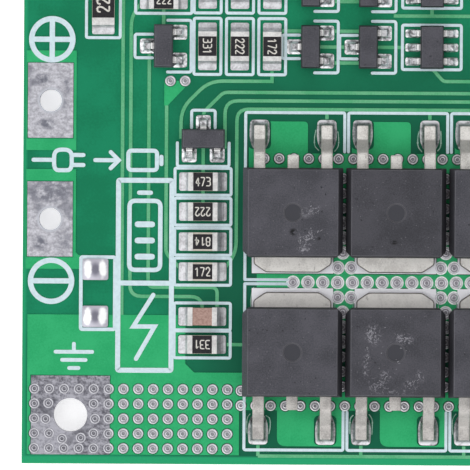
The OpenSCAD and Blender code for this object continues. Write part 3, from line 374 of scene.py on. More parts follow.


# Solder under the power transistors, painted pale as a highlight beside the tabs and at the toes of the leads
def poolSolder():
    look = {"dark": tint(112, 113, 115), "light": tint(172, 173, 174), "pale": tint(244, 243, 248),
            "tabSeam": (2.42, 2.2), "toeSeam": (10.68, 10.95), "toeLevels": (0.3, 0.55), "toeWeight": 0.7}
    finish = Finish("poolSolder")
    flow = finish.noise(size=0.5)
    pits = finish.noise(size=0.14, detail=2)
    atToe = finish.fromSeam(*look["toeSeam"]) * finish.fade(flow, *look["toeLevels"]) * look["toeWeight"]
    # painted highlight beside the tabs and, in patches, at the toes
    pale = finish.fromSeam(*look["tabSeam"]).atLeast(atToe)
    metal = finish.blend(finish.mottle(flow, pits), look["dark"], look["light"])
    finish.rough(flow, depth=0.02)
    return finish.paint(Base_Color=finish.blend(pale, metal, look["pale"]), Metallic=0.75 - pale * 0.65,
                        Roughness=0.3 + pits * 0.1)


# Tinned leads and tabs of the power transistors, with weights for the painted shade on bends
# and the tone of the tabs, and a painted shadow along the tab edges
def leadTin(name, dark, light, bend, tab):
    look = {"mark": tint(132, 128, 124), "markLevels": (0.62, 0.72), "markWeight": 0.6,
            "bend": tint(128, 126, 122), "bendFacing": (0.97, 0.85), "tab": tint(236, 233, 229),
            "tabSeam": (3.15, 3.0), "tabEdgeShadow": tint(66, 58, 54), "tabFacing": (0.985, 0.9)}
    finish = Finish(name, Specular_IOR_Level=0.4)
    grain = finish.noise(size=0.09, detail=4, rough=0.6)
    wash = finish.noise(size=0.8)
    scratches = finish.noise(size=0.3, detail=4, rough=0.65, stretch=(1.6, 0.5, 1))
    marks = finish.fade(scratches, *look["markLevels"])
    tin = finish.blend(finish.mottle(grain, wash, share=0.5, levels=(0.36, 0.6)), dark, light)
    # painted shade on the sloping faces of the bends
    bendShade = finish.fade(finish.facing(), *look["bendFacing"]) * (wash + 0.4) * bend
    tin = finish.blend(bendShade, tin, look["bend"])
    onTab = finish.fromSeam(*look["tabSeam"])
    tin = finish.blend(onTab * tab, tin, look["tab"])
    # painted shadow along the edges of the tabs
    tin = finish.blend(onTab * finish.fade(finish.facing(), *look["tabFacing"]), tin, look["tabEdgeShadow"])
    finish.rough(grain, depth=0.01, strength=0.5)
    return finish.paint(Base_Color=finish.blend(marks * look["markWeight"], tin, look["mark"]),
                        Metallic=0.35 - marks * 0.15, Roughness=0.46 + grain * 0.15)


# Stains are (middle, reach, grain size, threshold, colour) and curls (middle, reach, weight) on one body
def mouldedBlack(name, stains=(), curls=(), node=None, tone=1.0):
    look = {"dark": (60, 60, 66), "light": (82, 81, 88), "speck": tint(122, 121, 126),
            "speckLevels": (0.14, 0.05), "speckWeight": 0.5, "pit": tint(42, 42, 47),
            "pitLevels": (0.68, 0.76), "pinMark": tint(60, 60, 66), "pinDepth": (0.015, 0.03),
            "pinFacing": (0.8, 0.95), "stainEdge": 0.03, "curl": tint(160, 158, 166), "curlSize": 0.5,
            "curlLine": (0.05, 0.0), "curlBreaks": (0.36, 0.6), "rim": tint(108, 107, 112),
            "rimOuter": (0.5, 0.75), "rimInner": (0.985, 0.93), "rimHighlightWeight": 0.5,
            "flank": tint(32, 32, 36), "flankFacing": (0.7, 0.45), "flankU": (15.2, 15.5),
            "flankWeight": 0.55}
    dark, light = (tint(*(part * tone for part in look[key])) for key in ("dark", "light"))
    finish = Finish(name, Specular_IOR_Level=0.25)
    grain = finish.noise(size=0.1, detail=4, rough=0.7)
    wash = finish.noise(size=1.7)
    facing = finish.facing()
    black = finish.blend(finish.mottle(grain, wash), dark, light)
    specks = finish.fade(finish.grains(size=0.34), *look["speckLevels"]) * look["speckWeight"]
    black = finish.blend(specks, black, look["speck"])
    pits = finish.fade(finish.noise(size=0.27, detail=2), *look["pitLevels"])
    black = finish.blend(pits, black, look["pit"])
    if node:  # the round pin mark, sunk in the top face
        sunk = finish.underTop(node, *look["pinDepth"]) * finish.fade(facing, *look["pinFacing"])
        black = finish.blend(sunk, black, look["pinMark"])
    for middle, reach, size, threshold, colour in stains:
        levels = threshold - look["stainEdge"], threshold + look["stainEdge"]
        flakes = finish.fade(finish.noise(size, rough=0.6), *levels)
        black = finish.blend(flakes * finish.near(middle, reach), black, colour)
    for middle, reach, weight in curls:  # fine wavy lines of dried flux
        level = abs(finish.noise(look["curlSize"], detail=4, rough=0.6) - 0.5)
        breaks = finish.fade(finish.noise(size=0.12, detail=2), *look["curlBreaks"])
        lines = finish.fade(level, *look["curlLine"]) * breaks
        black = finish.blend(lines * finish.near(middle, reach) * weight, black, look["curl"])
    # painted highlight on the bevelled top edges
    rim = finish.fade(facing, *look["rimInner"]) * finish.fade(facing, *look["rimOuter"])
    black = finish.blend(rim * look["rimHighlightWeight"], black, look["rim"])
    # painted shade on the steep side walls right of u 15.2, not on the first column's left walls
    flank = finish.fade(facing, *look["flankFacing"]) * finish.acrossU(*look["flankU"])
    black = finish.blend(flank * look["flankWeight"], black, look["flank"])
    finish.rough(grain, depth=0.02, strength=0.6)
    return finish.paint(Base_Color=black, Roughness=0.55 + wash * 0.2)


def resistorCoat(name, node):
    look = {"coat": tint(24, 21, 26), "sheen": tint(38, 35, 40), "ceramic": tint(214, 208, 196),
            "grit": tint(178, 170, 158), "coatDepth": (0.034, 0.0272)}
    finish = Finish(name, Specular_IOR_Level=0.4)
    grain = finish.noise(size=0.12)
    raised = finish.underTop(node, *look["coatDepth"])
    chalk = finish.blend(grain, look["grit"], look["ceramic"])
    coat = finish.blend(finish.fade(grain, low=0.35, high=0.7), look["coat"], look["sheen"])
    finish.rough(grain, depth=0.01, strength=0.4)
    return finish.paint(Base_Color=finish.blend(raised, chalk, coat), Roughness=0.6 - raised * 0.25)


def firedCeramic():
    look = {"dark": tint(146, 116, 106), "light": tint(176, 146, 136)}
    finish = Finish("firedCeramic", Specular_IOR_Level=0.3)
    grain = finish.noise(size=0.13, detail=4, rough=0.6)
    clay = finish.blend(finish.fade(grain, low=0.3, high=0.66), look["dark"], look["light"])
    finish.rough(grain, depth=0.01, strength=0.4)
    return finish.paint(Base_Color=clay, Roughness=0.5 + grain * 0.1)


chargeSmudges = [
    ((1.84, 18.5), (2.8, 1.5), 0.8), ((1.2, 15.0), (0.7, 0.7), 0.9), ((2.8, 15.2), (0.7, 1.5), 0.5),
    ((1.25, 26.1), (0.75, 0.6), 0.9), ((1.5, 23.1), (0.85, 0.55), 0.9), ((2.9, 25.6), (0.45, 0.9), 0.6),
]
chargeHoles = [(u, v) for u, v, *_ in islands("charge_terminals")]
# Painted highlights on the battery pad, lighter towards its front left
powerGlints = [((1.7, 1.5), (2.6, 2.6), 0.45), ((3.3, 3.3), (2.1, 2.1), 0.3)]
finishes = {
    "board": boardLacquer(),
    "pour": copperLacquer("pourLacquer", tint(38, 160, 100), tint(48, 172, 110)),
    "track": copperLacquer("trackLacquer", tint(80, 166, 116), tint(106, 178, 134)),
    "print": printWhite("printWhite", tint(196, 215, 222), tint(208, 226, 232)),
    "figure": printWhite("figureWhite", tint(196, 192, 184), tint(218, 214, 206)),
    "chargeTin": tinnedPad("chargeTin", tint(156, 155, 163), tint(208, 207, 214), tint(94, 96, 109),
                           smudges=chargeSmudges, rims=chargeHoles),
    "powerTin": tinnedPad("powerTin", tint(90, 89, 98), tint(172, 171, 180), tint(74, 74, 83),
                          glints=powerGlints),
    "via": viaSolder(),
    "solder": jointSolder(),
    "dab": dabSolder(),
    "pool": poolSolder(),
    "lead": leadTin("leadTin", tint(188, 184, 179), tint(228, 225, 220), bend=0.6, tab=0.3),
    # The lower row's leads take a darker copy of the same tin, which is painted shade
    "shadedLead": leadTin("shadedLeadTin", tint(158, 154, 151), tint(198, 194, 190), bend=0.25, tab=0.5),
    "smallLead": solderBright("smallLeadTin", tint(196, 194, 194), tint(230, 229, 228),
                              metal=0.8, gloss=0.26),
    "halo": solderBright("haloTin", tint(208, 211, 211), tint(250, 252, 252), metal=0.25, gloss=0.34),
    "cap": solderBright("capTin", tint(206, 204, 203), tint(232, 231, 229), metal=0.35, gloss=0.34),
    "fired": firedCeramic(),
    "black": mouldedBlack("mouldedBlack"),
    "gateArcs": printWhite("gateArc", tint(112, 158, 138), tint(164, 194, 180)),
    "residue": printWhite("residueGrey", tint(100, 99, 105), tint(154, 153, 159)),
}
burn = tint(20, 20, 23)
haze = tint(98, 97, 103)
wornBodies = {
    "upper_mosfet_1_body": [((18.37, 15.84), (0.36, 0.34), 0.2, 0.45, burn),
                            ((20.1, 15.4), (0.2, 0.16), 0.2, 0.45, burn),
                            ((19.25, 17.15), (0.55, 0.5), 0.3, 0.46, haze)],
    "upper_mosfet_2_body": [((25.2, 15.16), (0.34, 0.2), 0.16, 0.45, burn)],
}
curlyBodies = {
    "upper_mosfet_1_body": [((19.36, 17.2), (0.6, 0.55), 0.3), ((19.95, 17.45), (0.5, 0.3), 0.35),
                            ((19.35, 15.45), (0.8, 0.75), 0.7), ((19.1, 14.75), (0.6, 0.4), 0.7)],
    "lower_mosfet_2_body": [((23.85, 8.86), (0.75, 0.95), 0.75), ((25.94, 8.63), (0.95, 0.5), 0.65),
                            ((23.37, 6.96), (0.36, 1.4), 0.45), ((24.1, 5.55), (0.75, 0.7), 0.6),
                            ((24.7, 6.1), (0.6, 0.6), 0.45), ((26.4, 5.5), (0.7, 0.6), 0.5),
                            ((26.95, 6.1), (0.6, 0.6), 0.5), ((25.1, 5.1), (1.9, 0.36), 0.4)],
}
bodyTones = {"upper_mosfet_2_body": 0.88, "lower_mosfet_2_body": 0.94}
print("finishes made:", len(finishes))


# Dressing of the solid pieces: finish, and the radius in mm that softens their edges
dress = {
    "circuit_board": ("board", 0), "power_pours": ("pour", 0), "signal_tracks": ("track", 0),
    "via_plugs": ("via", 0), "charge_terminals": ("chargeTin", 0), "tap_terminals": ("chargeTin", 0),
    "battery_terminals": ("powerTin", 0), "discharge_terminals": ("powerTin", 0),
    "power_solder": ("pool", 0.04), "transistor_solder": ("dab", 0.04), "chip_solder": ("solder", 0.05),
    "resistor_caps": ("cap", 0.03), "bleed_resistor_caps": ("cap", 0.03), "capacitor_caps": ("cap", 0.04),
    "capacitor_bodies": ("fired", 0.03),
}
softEdge = {"powerBody": 0.055, "powerLead": 0.075, "smallBody": 0.08, "smallLead": 0.02, "segments": 2,
            "flatAngle": 0.5, "edgeAngle": 32}  # radii in mm, angles in degrees


def soften(piece, radius, clamp):
    weld = piece.modifiers.new("weld", "WELD")
    weld.merge_threshold = weldReach
    flat = piece.modifiers.new("flat faces", "DECIMATE")
    flat.decimate_type = "DISSOLVE"
    flat.angle_limit = math.radians(softEdge["flatAngle"])
    bevel = piece.modifiers.new("edges", "BEVEL")
    bevel.width = radius * mm
    bevel.segments = softEdge["segments"]
    bevel.limit_method = "ANGLE"
    bevel.angle_limit = math.radians(softEdge["edgeAngle"])
    bevel.use_clamp_overlap = clamp


def powerBlack(name):
    return mouldedBlack(name + "Black", wornBodies.get(name, ()), curlyBodies.get(name, ()), name,
                        bodyTones.get(name, 1.0))


def dressOf(name):
    if name in dress:
        look, radius = dress[name]
        return finishes[look], radius
    if name in ("resistor_bodies", "bleed_resistor_bodies"):
        return resistorCoat(name + "Coat", name), 0
    isLead = name.endswith("_leads")
    if "mosfet" in name:
        if isLead:
            # the lower row gets the copy with painted shade
            return finishes["lead" if "upper" in name else "shadedLead"], softEdge["powerLead"]
        return powerBlack(name), softEdge["powerBody"]
    if isLead:
        return finishes["smallLead"], softEdge["smallLead"]
    return finishes["black"], softEdge["smallBody"]


for name, piece in nodes.items():
    material, radius = dressOf(name)
    piece.data.materials.clear()
    piece.data.materials.append(material)
    if radius:
        soften(piece, radius, "mosfet" not in name)
print("solid pieces dressed:", len(nodes))


# Paths
def turned(place, turn, points):  # local points set down at a place after quarter turns
    cos, sin = (round(wave(math.radians(turn))) for wave in (math.cos, math.sin))
    return [(place[0] + x * cos - y * sin, place[1] + x * sin + y * cos) for x, y in points]


def leftOf(way):
    return Vector((-way.y, way.x))


def rounded(path, reach, steps=5):  # corners become short curves
    path = [Vector(point) for point in path]
    out = [path[0]]
    for before, corner, after in zip(path, path[1:], path[2:]):
        legs = [before - corner, after - corner]
        start, end = (corner + leg.normalized() * min(reach, leg.length / 2) for leg in legs)
        for step in range(steps + 1):
            share = step / steps
            out.append(start * (1 - share) ** 2 + corner * 2 * share * (1 - share) + end * share * share)
    return out + [path[-1]]


def roundBox(left, front, right, back, reach):
    start = ((left + right) / 2, front)
    return rounded([start, (right, front), (right, back), (left, back), (left, front), start], reach)[:-1]


printLine = {"height": 0.064, "thin": 0.2, "middle": 0.24, "thick": 0.34, "corner": 0.12, "bend": 0.16,
             "mitre": 0.5, "endAngles": (35, 65), "levelStep": 0.0003, "levels": 60}


class PrintSheet:  # flat raised strokes that make one piece, between two heights
    def __init__(self, base, top):
        self.points = []
        self.faces = []
        self.base = base
        self.top = top
        self.count = 0

    def prism(self, rim, closed):  # rim is pairs of left and right points along a stroke
        level = self.count % printLine["levels"]  # strokes that cross lie at different levels
        lift = self.top + printLine["levelStep"] * level
        self.count += 1
        start = len(self.points)
        corners = 4  # points round the stroke at each step
        for left, right in rim:
            self.points += [spot(*left, self.base), spot(*left, lift)]
            self.points += [spot(*right, lift), spot(*right, self.base)]
        total = len(rim)
        for i in range(total if closed else total - 1):
            here, there = start + corners * i, start + corners * ((i + 1) % total)
            for side in range(corners):
                after = (side + 1) % corners
                self.faces.append((here + side, there + side, there + after, here + after))
        if not closed:
            last = start + corners * (total - 1)
            self.faces += [(start, start + 1, start + 2, start + 3), (last + 3, last + 2, last + 1, last)]

    def stroke(self, path, width, closed=False):
        path = [Vector(point) for point in path]
        total = len(path)
        rim = []
        for i, point in enumerate(path):
            legs = []
            if closed or i:
                legs.append((point - path[i - 1]).normalized())
            if closed or i < total - 1:
                legs.append((path[(i + 1) % total] - point).normalized())
            out = leftOf(sum(legs, Vector((0, 0))).normalized())
            reach = width / 2 / max(printLine["mitre"], out.dot(leftOf(legs[0])))
            rim.append((point + out * reach, point - out * reach))
        if not closed:
            startCap = self.endCap(rim[0], path[0] - path[1])
            rim = startCap[::-1] + rim + self.endCap(rim[-1], path[-1] - path[-2])
        self.prism(rim, closed)

    def endCap(self, pair, way):  # a short rounded end beyond a pair of rim points
        tip, half = (pair[0] + pair[1]) / 2, (pair[0] - pair[1]) / 2
        cap = []
        for angle in printLine["endAngles"]:
            push = way.normalized() * half.length * math.sin(math.radians(angle))
            squeeze = half * math.cos(math.radians(angle))
            cap.append((tip + push + squeeze, tip + push - squeeze))
        return cap

    def box(self, left, front, right, back, width):
        inset = width / 2
        path = roundBox(left + inset, front + inset, right - inset, back - inset, printLine["corner"])
        self.stroke(path, width, closed=True)

    def ring(self, u, v, radius, width, steps=56):
        turns = [2 * math.pi * i / steps for i in range(steps)]
        path = [(u + radius * math.cos(turn), v + radius * math.sin(turn)) for turn in turns]
        self.stroke(path, width, closed=True)

    def piece(self, name, material):
        mesh = bpy.data.meshes.new(name)
        mesh.from_pydata(self.points, [], self.faces)
        mesh.update()
        made = bpy.data.objects.new(name, mesh)
        bpy.context.collection.objects.link(made)
        mesh.materials.append(material)
        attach(made, "root")


# Print outlines round the chips, as half width and half length
outlines = PrintSheet(0.0, printLine["height"])
thin = printLine["thin"]
chipOutline = {"resistor_bodies": (1.015, 2.01), "capacitor_bodies": (1.015, 2.01),
               "bleed_resistor_bodies": (1.25, 2.55)}
for node, (half, ends) in chipOutline.items():
    for u, v, sizeU, sizeV in islands(node):
        across, along = (ends, half) if sizeU > sizeV else (half, ends)
        outlines.box(u - across, v - along, u + across, v + along, thin)

# Outlines round the small transistors, a bracket for each side with leads, and round the cell monitors
smallOutline = {"side": 0.8, "back": 1.94, "backStart": 0.75,
                "twinSide": 1.76, "twinFront": -1.88, "twinStart": -0.28}
monitorOutline = {"side": 2.1, "front": 1.6, "back": 1.62}


def outlineTransistor(place, turn):
    look = smallOutline
    for side, start, end in ((look["side"], look["backStart"], look["back"]),
                             (look["twinSide"], look["twinStart"], look["twinFront"])):
        bracket = [(-side, start), (-side, end), (side, end), (side, start)]
        outlines.stroke(rounded(turned(place, turn, bracket), printLine["bend"]), thin)


for name in nodes:
    if name.startswith("transistor_") and name.endswith("_body"):
        low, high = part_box(name)
        outlineTransistor(nodeMiddle(name), 0 if high.x - low.x > high.y - low.y else 90)
    if name.startswith("cell_monitor_") and name.endswith("_body"):
        u, v = nodeMiddle(name)
        side = monitorOutline["side"]
        outlines.box(u - side, v - monitorOutline["front"], u + side, v + monitorOutline["back"], thin)

# Outlines round the power transistors stop where vias and bodies lie, and the first pair have inner arms
powerOutline = {"left": 3.24, "right": 3.5, "back": 23.95, "front": 1.0, "upperStop": 21.3, "lowerStop": 3.6,
                "upperArm": 12.58, "lowerArm": 12.3, "armLength": 2.9}
columnMiddles = [nodeMiddle(f"upper_mosfet_{i}_body")[0] for i in range(1, 5)]


def outlineColumn(u, withArms):
    look = powerOutline
    left, right = u - look["left"], u + look["right"]
    arms = look["upperArm"], look["lowerArm"]
    stops = look["upperStop"], look["lowerStop"]
    for start, edge, stop in zip(arms if withArms else stops, (look["back"], look["front"]), stops):
        path = [(left, start), (left, edge), (right, edge), (right, stop)]
        outlines.stroke(rounded(path, printLine["corner"]), thin)
    for v in arms if withArms else ():
        outlines.stroke([(left, v), (left + look["armLength"], v)], thin)


for u in columnMiddles:
    outlineColumn(u, u == columnMiddles[0])

# Frames round the bare pads and round the cell and flash signs
padFrame = {"left": 3.85, "front": 9.02, "right": 6.4, "back": 14.17}
signFrame = {"left": 6.33, "front": 6.2, "right": 10.3, "back": 19.46}
divider = {"v": 12.3, "inset": 0.3}
dividerEnds = signFrame["left"] + divider["inset"], signFrame["right"] - divider["inset"]
outlines.box(**padFrame, width=printLine["middle"])
outlines.box(**signFrame, width=printLine["thick"])
outlines.stroke([(u, divider["v"]) for u in dividerEnds], printLine["thick"])
outlines.piece("print_outlines", finishes["print"])

# Signs: polarity rings by the charge terminals, then plain pictograms
signs = PrintSheet(0.0, printLine["height"])
polarity = {"radius": 1.4, "line": 0.36, "plus": (1.93, 28.85), "minus": (1.94, 12.42)}
plugSign = {"line": 0.28, "v": 20.65, "cord": (0.7, 2.1), "body": (2.1, 3.3), "half": 0.7, "round": 0.5,
            "prongs": (3.3, 4.1), "prongStep": 0.34, "arrow": (4.9, 6.5), "head": 0.55, "cell": (7.15, 9.1),
            "cellHalf": 0.66, "cellRound": 0.25, "nub": 9.4, "nubHalf": 0.25}
earthSign = {"line": 0.26, "u": 3.52, "stem": (8.15, 7.6), "bars": ((7.6, 1.25), (7.05, 0.8), (6.5, 0.32))}
cellSign = {"line": 0.3, "u": 8.3, "half": 1.05, "front": 13.2, "back": 17.9, "round": 0.4, "nub": 18.45,
            "nubHalf": 0.4, "bars": (14.1, 15.2, 16.3), "barHalf": 0.5, "barLine": 0.4}
flashSign = {"line": 0.3, "path": [(8.9, 11.5), (7.55, 9.35), (9.0, 9.35), (7.75, 7.15)]}


def drawAcross(u, half, v, line):  # a bar from left to right
    signs.stroke([(u - half, v), (u + half, v)], line)


def drawPolarity(u, v, isPlus):
    arm, line = polarity["radius"], polarity["line"]
    signs.ring(u, v, arm, line)
    drawAcross(u, arm, v, line)
    if isPlus:
        signs.stroke([(u, v - arm), (u, v + arm)], line)


def drawPlug():
    look = plugSign
    line, v, half, cellHalf = look["line"], look["v"], look["half"], look["cellHalf"]
    signs.stroke([(u, v) for u in look["cord"]], line)
    left, right = look["body"]
    signs.stroke(roundBox(left, v - half, right, v + half, look["round"]), line, closed=True)
    for side in (-1, 1):
        signs.stroke([(u, v + side * look["prongStep"]) for u in look["prongs"]], line)
    signs.stroke([(u, v) for u in look["arrow"]], line)
    tip, head = look["arrow"][1], look["head"]
    signs.stroke([(tip - head, v + head), (tip, v), (tip - head, v - head)], line)
    left, right = look["cell"]
    signs.stroke(roundBox(left, v - cellHalf, right, v + cellHalf, look["cellRound"]), line, closed=True)
    signs.stroke([(look["nub"], v - look["nubHalf"]), (look["nub"], v + look["nubHalf"])], line)


def drawEarth():
    signs.stroke([(earthSign["u"], v) for v in earthSign["stem"]], earthSign["line"])
    for v, half in earthSign["bars"]:
        drawAcross(earthSign["u"], half, v, earthSign["line"])


def drawCell():
    look = cellSign
    u, half, line = look["u"], look["half"], look["line"]
    signs.stroke(roundBox(u - half, look["front"], u + half, look["back"], look["round"]), line, closed=True)
    drawAcross(u, look["nubHalf"], look["nub"], line)
    for v in look["bars"]:
        drawAcross(u, look["barHalf"], v, look["barLine"])


drawPolarity(*polarity["plus"], isPlus=True)
drawPolarity(*polarity["minus"], isPlus=False)
drawPlug()
drawEarth()
drawCell()
signs.stroke(flashSign["path"], flashSign["line"])
signs.piece("print_signs", finishes["print"])

# Plain numbers on the resistors, with stroke paths for each figure on a grid 1 high
figureWidth = 0.58
figures = {
    "1": [[(0.08, 0.78), (0.32, 1), (0.32, 0)]],
    "2": [[(0, 0.78), (0.06, 1), (0.52, 1), (0.58, 0.66), (0, 0), (0.58, 0)]],
    "3": [[(0, 1), (0.56, 1), (0.56, 0.54), (0.2, 0.54)], [(0.2, 0.54), (0.58, 0.54), (0.58, 0), (0, 0)]],
    "4": [[(0.42, 0), (0.42, 1), (0, 0.3), (0.6, 0.3)]],
    "7": [[(0, 1), (0.58, 1), (0.2, 0)]],
    "8": [[(0.29, 0.52), (0.02, 0.52), (0.02, 1), (0.56, 1), (0.56, 0.52), (0.29, 0.52)],
          [(0.29, 0.52), (0, 0.52), (0, 0), (0.58, 0), (0.58, 0.52), (0.29, 0.52)]],
}
code = {"height": 0.56, "width": 0.252, "pitch": 0.37, "line": 0.078, "round": 0.12, "sink": 0.01,
        "rise": 0.008, "values": ("222", "473", "331", "172", "814")}


def markChips(node, name, scale, turnOf):
    lift = topHeight(node)
    sheet = PrintSheet(lift - code["sink"], lift + code["rise"])
    for n, (u, v, sizeU, sizeV) in enumerate(islands(node)):
        turn = turnOf(n, sizeU > sizeV)
        for i, figure in enumerate(code["values"][n % len(code["values"])]):
            left = (i - 1) * code["pitch"] - code["width"] / 2
            for path in figures[figure]:
                local = [(left + x * code["width"] / figureWidth, (y - 0.5) * code["height"])
                         for x, y in path]
                local = [(x * scale, y * scale) for x, y in local]
                smooth = rounded(local, code["round"] * scale)
                sheet.stroke(turned((u, v), turn, smooth), code["line"] * scale)
    sheet.piece(name, finishes["figure"])


def resistorTurn(n, isFlat):  # lying ones are upside down, but for every third resistor
    if not isFlat:
        return -90
    return 180 if n % 3 else 0


markChips("resistor_bodies", "resistor_figures", scale=1, turnOf=resistorTurn)
markChips("bleed_resistor_bodies", "bleed_resistor_figures", scale=1.45, turnOf=lambda n, isFlat: 90)
print("print made")

# Residue on two bodies: short strokes as (middle, reach along and across, lean, count)
residue = {
    "upper_mosfet_1_body": [((19.36, 17.2), (0.5, 0.4), 20, 6), ((19.9, 17.3), (0.35, 0.25), 30, 5),
                            ((20.05, 15.85), (0.45, 0.09), 35, 6), ((19.35, 15.35), (0.5, 0.1), 5, 14),
                            ((18.85, 15.2), (0.4, 0.1), 95, 10), ((19.2, 14.65), (0.35, 0.14), 10, 14),
                            ((19.6, 15.9), (0.5, 0.07), 100, 8)],
    "lower_mosfet_2_body": [((23.85, 8.86), (0.45, 0.6), 75, 26), ((25.94, 8.63), (0.7, 0.24), -24, 16),
                            ((23.37, 6.96), (1.2, 0.16), 84, 12), ((24.31, 5.71), (0.75, 0.2), 42, 16),
                            ((26.6, 5.72), (0.95, 0.2), 42, 16), ((25.2, 7.2), (2.4, 2.6), 20, 10)],
}
fleck = {"height": 0.006, "sink": 0.004, "short": 0.03, "long": 0.13, "thin": 0.02, "wide": 0.045,
         "spread": 0.5, "stray": 0.35, "bow": 0.6}


def addResidue(body, patches):
    dice = random.Random(len(body) + len(patches))
    lift = topHeight(body)
    sheet = PrintSheet(lift - fleck["sink"], lift + fleck["height"])
    for middle, reach, lean, count in patches:
        along = Vector((math.cos(math.radians(lean)), math.sin(math.radians(lean))))
        across = leftOf(along)
        for _ in range(count):
            at = Vector(middle) + along * reach[0] * dice.gauss(0, fleck["spread"])
            at = at + across * reach[1] * dice.gauss(0, fleck["spread"])
            way = (along + across * dice.gauss(0, fleck["stray"])).normalized()
            half = dice.uniform(fleck["short"], fleck["long"]) / 2 * way
            bow = leftOf(half) * dice.uniform(-fleck["bow"], fleck["bow"])
            sheet.stroke([at - half, at + bow, at + half], dice.uniform(fleck["thin"], fleck["wide"]))
    sheet.piece(body.replace("body", "residue"), finishes["residue"])


for body, patches in residue.items():
    addResidue(body, patches)

# Thin pale arcs beside the solder of the gate leads, widest towards the other lead
gateArc = {"height": 0.058, "near": 0.06, "far": 0.16, "weak": 0.4, "thin": 0.045, "wide": 0.085,
             "toe": 0.3, "toeShare": (0.6, 1), "waist": 0.2, "heel": 0.42, "tail": (0.5, 0.6), "tuck": 0.2,
             "round": 0.4, "seed": 7}


def addGateArcs():
    look = gateArc
    dice = random.Random(look["seed"])
    sheet = PrintSheet(0.0, look["height"])
    for u, v, sizeU, sizeV in islands("power_solder"):
        way = 1 if v > rowSeam else -1
        column = min(columnMiddles, key=lambda middle: abs(middle - u))
        if sizeU > sizeV or (u - column) * way < 0:
            continue
        for side in (-1, 1):
            near = u + side * (sizeU / 2 + look["near"])
            far = near + side * dice.uniform(0, look["far"]) * (1 if side == -way else look["weak"])
            toe = v + way * look["toe"] * dice.uniform(*look["toeShare"])
            tail = v - way * sizeV * dice.uniform(*look["tail"])
            path = [(near, toe), (far, v - way * look["waist"]), (far, v - way * sizeV * look["heel"]),
                    (near - side * look["tuck"], tail)]
            sheet.stroke(rounded(path, look["round"]), dice.uniform(look["thin"], look["wide"]))
    sheet.piece("gate_arcs", finishes["gateArcs"])


addGateArcs()
print("residue made")

# Solder has run out a little round the vias between the two rows of power transistors
halo = {"radius": 0.4, "line": 0.12, "height": 0.052, "reach": 4.4, "left": 14, "right": 46, "steps": 32}


def addHalos():
    sheet = PrintSheet(0.0, halo["height"])
    for u, v, *_ in islands("via_plugs"):
        if halo["left"] < u < halo["right"] and abs(v - rowSeam) < halo["reach"]:
            sheet.ring(u, v, halo["radius"], halo["line"], halo["steps"])
    sheet.piece("via_halos", finishes["halo"])


addHalos()
print("halos made")


# Stage, with a floor that glows a little where it is seen, so that it looks white
stageLook = {"floor": (0.93, 0.93, 0.93, 1), "size": 1.2, "drop": 0.03, "glow": 0.54}  # size in m, drop in mm


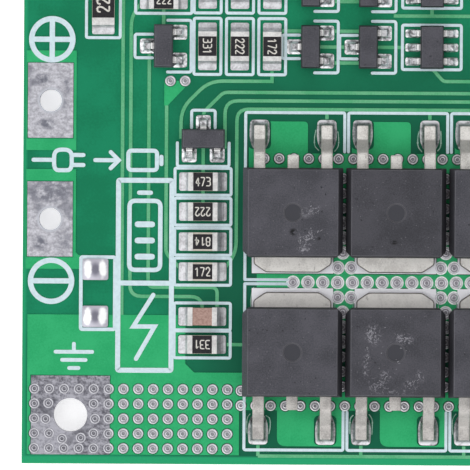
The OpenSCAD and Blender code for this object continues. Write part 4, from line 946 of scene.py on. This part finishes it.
def makeFloor():
    half = stageLook["size"] / 2
    z = boardLow.z - stageLook["drop"] * mm
    mesh = bpy.data.meshes.new("floor")
    corners = [(-half, -half, z), (half, -half, z), (half, half, z), (-half, half, z)]
    mesh.from_pydata(corners, [], [(0, 1, 2, 3)])
    floor = bpy.data.objects.new("floor", mesh)
    bpy.context.collection.objects.link(floor)
    paper = Finish("floorPaper", Base_Color=stageLook["floor"], Specular_IOR_Level=0.0, Roughness=0.9)
    rays = ["Is Camera Ray", "Is Glossy Ray", "Is Transmission Ray"]
    camera, glossy, through = (paper.node("ShaderNodeLightPath", output=ray) for ray in rays)
    seen = camera.atLeast(glossy).atLeast(through)
    glow = paper.node("ShaderNodeEmission", None, {"Strength": stageLook["glow"]})
    plain = Wire(paper, paper.surface.outputs[0])
    both = paper.node("ShaderNodeAddShader", None, {0: plain, 1: glow})
    mixed = paper.node("ShaderNodeMixShader", None, {0: seen, 1: plain, 2: both})
    paper.feed(paper.tree.nodes["Material Output"].inputs["Surface"], mixed)
    mesh.materials.append(paper.material)
    floor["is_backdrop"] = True


# The surround is brightest towards the front left, and dim straight overhead
def makeWorld():
    look = {"tone": (0.96, 0.98, 1, 1), "level": 0.38, "overhead": 0.45, "overheadZ": (0.72, 0.98),
            "way": (-0.3, -0.5, 0), "swing": 0.7}
    world = bpy.data.worlds.new("studio")
    bpy.context.scene.world = world
    sky = NodeTree(world, "Generated")
    dim = sky.fade(sky.axis("Z"), *look["overheadZ"]) * (look["overhead"] - 1) + 1
    lean = sky.vector("DOT_PRODUCT", sky.place, look["way"], "Value")
    background = sky.tree.nodes["Background"]
    sky.feed(background.inputs["Color"], look["tone"])
    sky.feed(background.inputs["Strength"], dim * (lean * look["swing"] + 1) * look["level"])


# Softboxes: place (m) from the middle of the picture, size (m), power (W)
softboxes = {
    "left": ((-0.46, -0.12, 0.42), 0.95, 2.85),
    "front": ((-0.1, -0.48, 0.42), 0.9, 2.1),
    "right": ((0.46, 0.1, 0.42), 0.8, 1.4),
    "back": ((0.05, 0.36, 0.52), 0.6, 0.8),
}


def makeLights(middle):
    for name, (place, size, power) in softboxes.items():
        lamp = bpy.data.lights.new(name, "AREA")
        lamp.shape = "SQUARE"
        lamp.size = size
        lamp.energy = power
        holder = bpy.data.objects.new(name, lamp)
        bpy.context.collection.objects.link(holder)
        holder.location = middle + Vector(place)
        holder.rotation_mode = "QUATERNION"
        holder.rotation_quaternion = (middle - holder.location).to_track_quat("-Z", "Y")


# The picture's size and the board's front left corner in it are in pixels, the turn in degrees,
# the distance and the sensor in mm, and the clip in m
photo = {"size": 470, "pixelsPerMm": 14.7, "corner": (21.5, 463.2), "turn": 0.33, "distance": 500,
         "sensor": 36, "clip": (0.01, 10)}


def makeCamera():
    turn = math.radians(photo["turn"])
    across = (photo["size"] / 2 - photo["corner"][0]) / photo["pixelsPerMm"]
    up = (photo["corner"][1] - photo["size"] / 2) / photo["pixelsPerMm"]
    cos, sin = math.cos(turn), math.sin(turn)
    middle = spot(across * cos - up * sin, up * cos + across * sin)
    data = bpy.data.cameras.new("camera")
    data.sensor_width = photo["sensor"]
    data.lens = data.sensor_width * photo["distance"] * photo["pixelsPerMm"] / photo["size"]
    data.clip_start, data.clip_end = photo["clip"]
    camera = bpy.data.objects.new("camera", data)
    bpy.context.collection.objects.link(camera)
    camera.location = middle + Vector((0, 0, photo["distance"] * mm))
    camera.rotation_euler = (0, 0, turn)
    bpy.context.scene.camera = camera
    return middle


makeFloor()
makeWorld()
makeLights(makeCamera())
bpy.context.scene.view_settings.view_transform = "Standard"
print("stage made")

low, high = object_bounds()
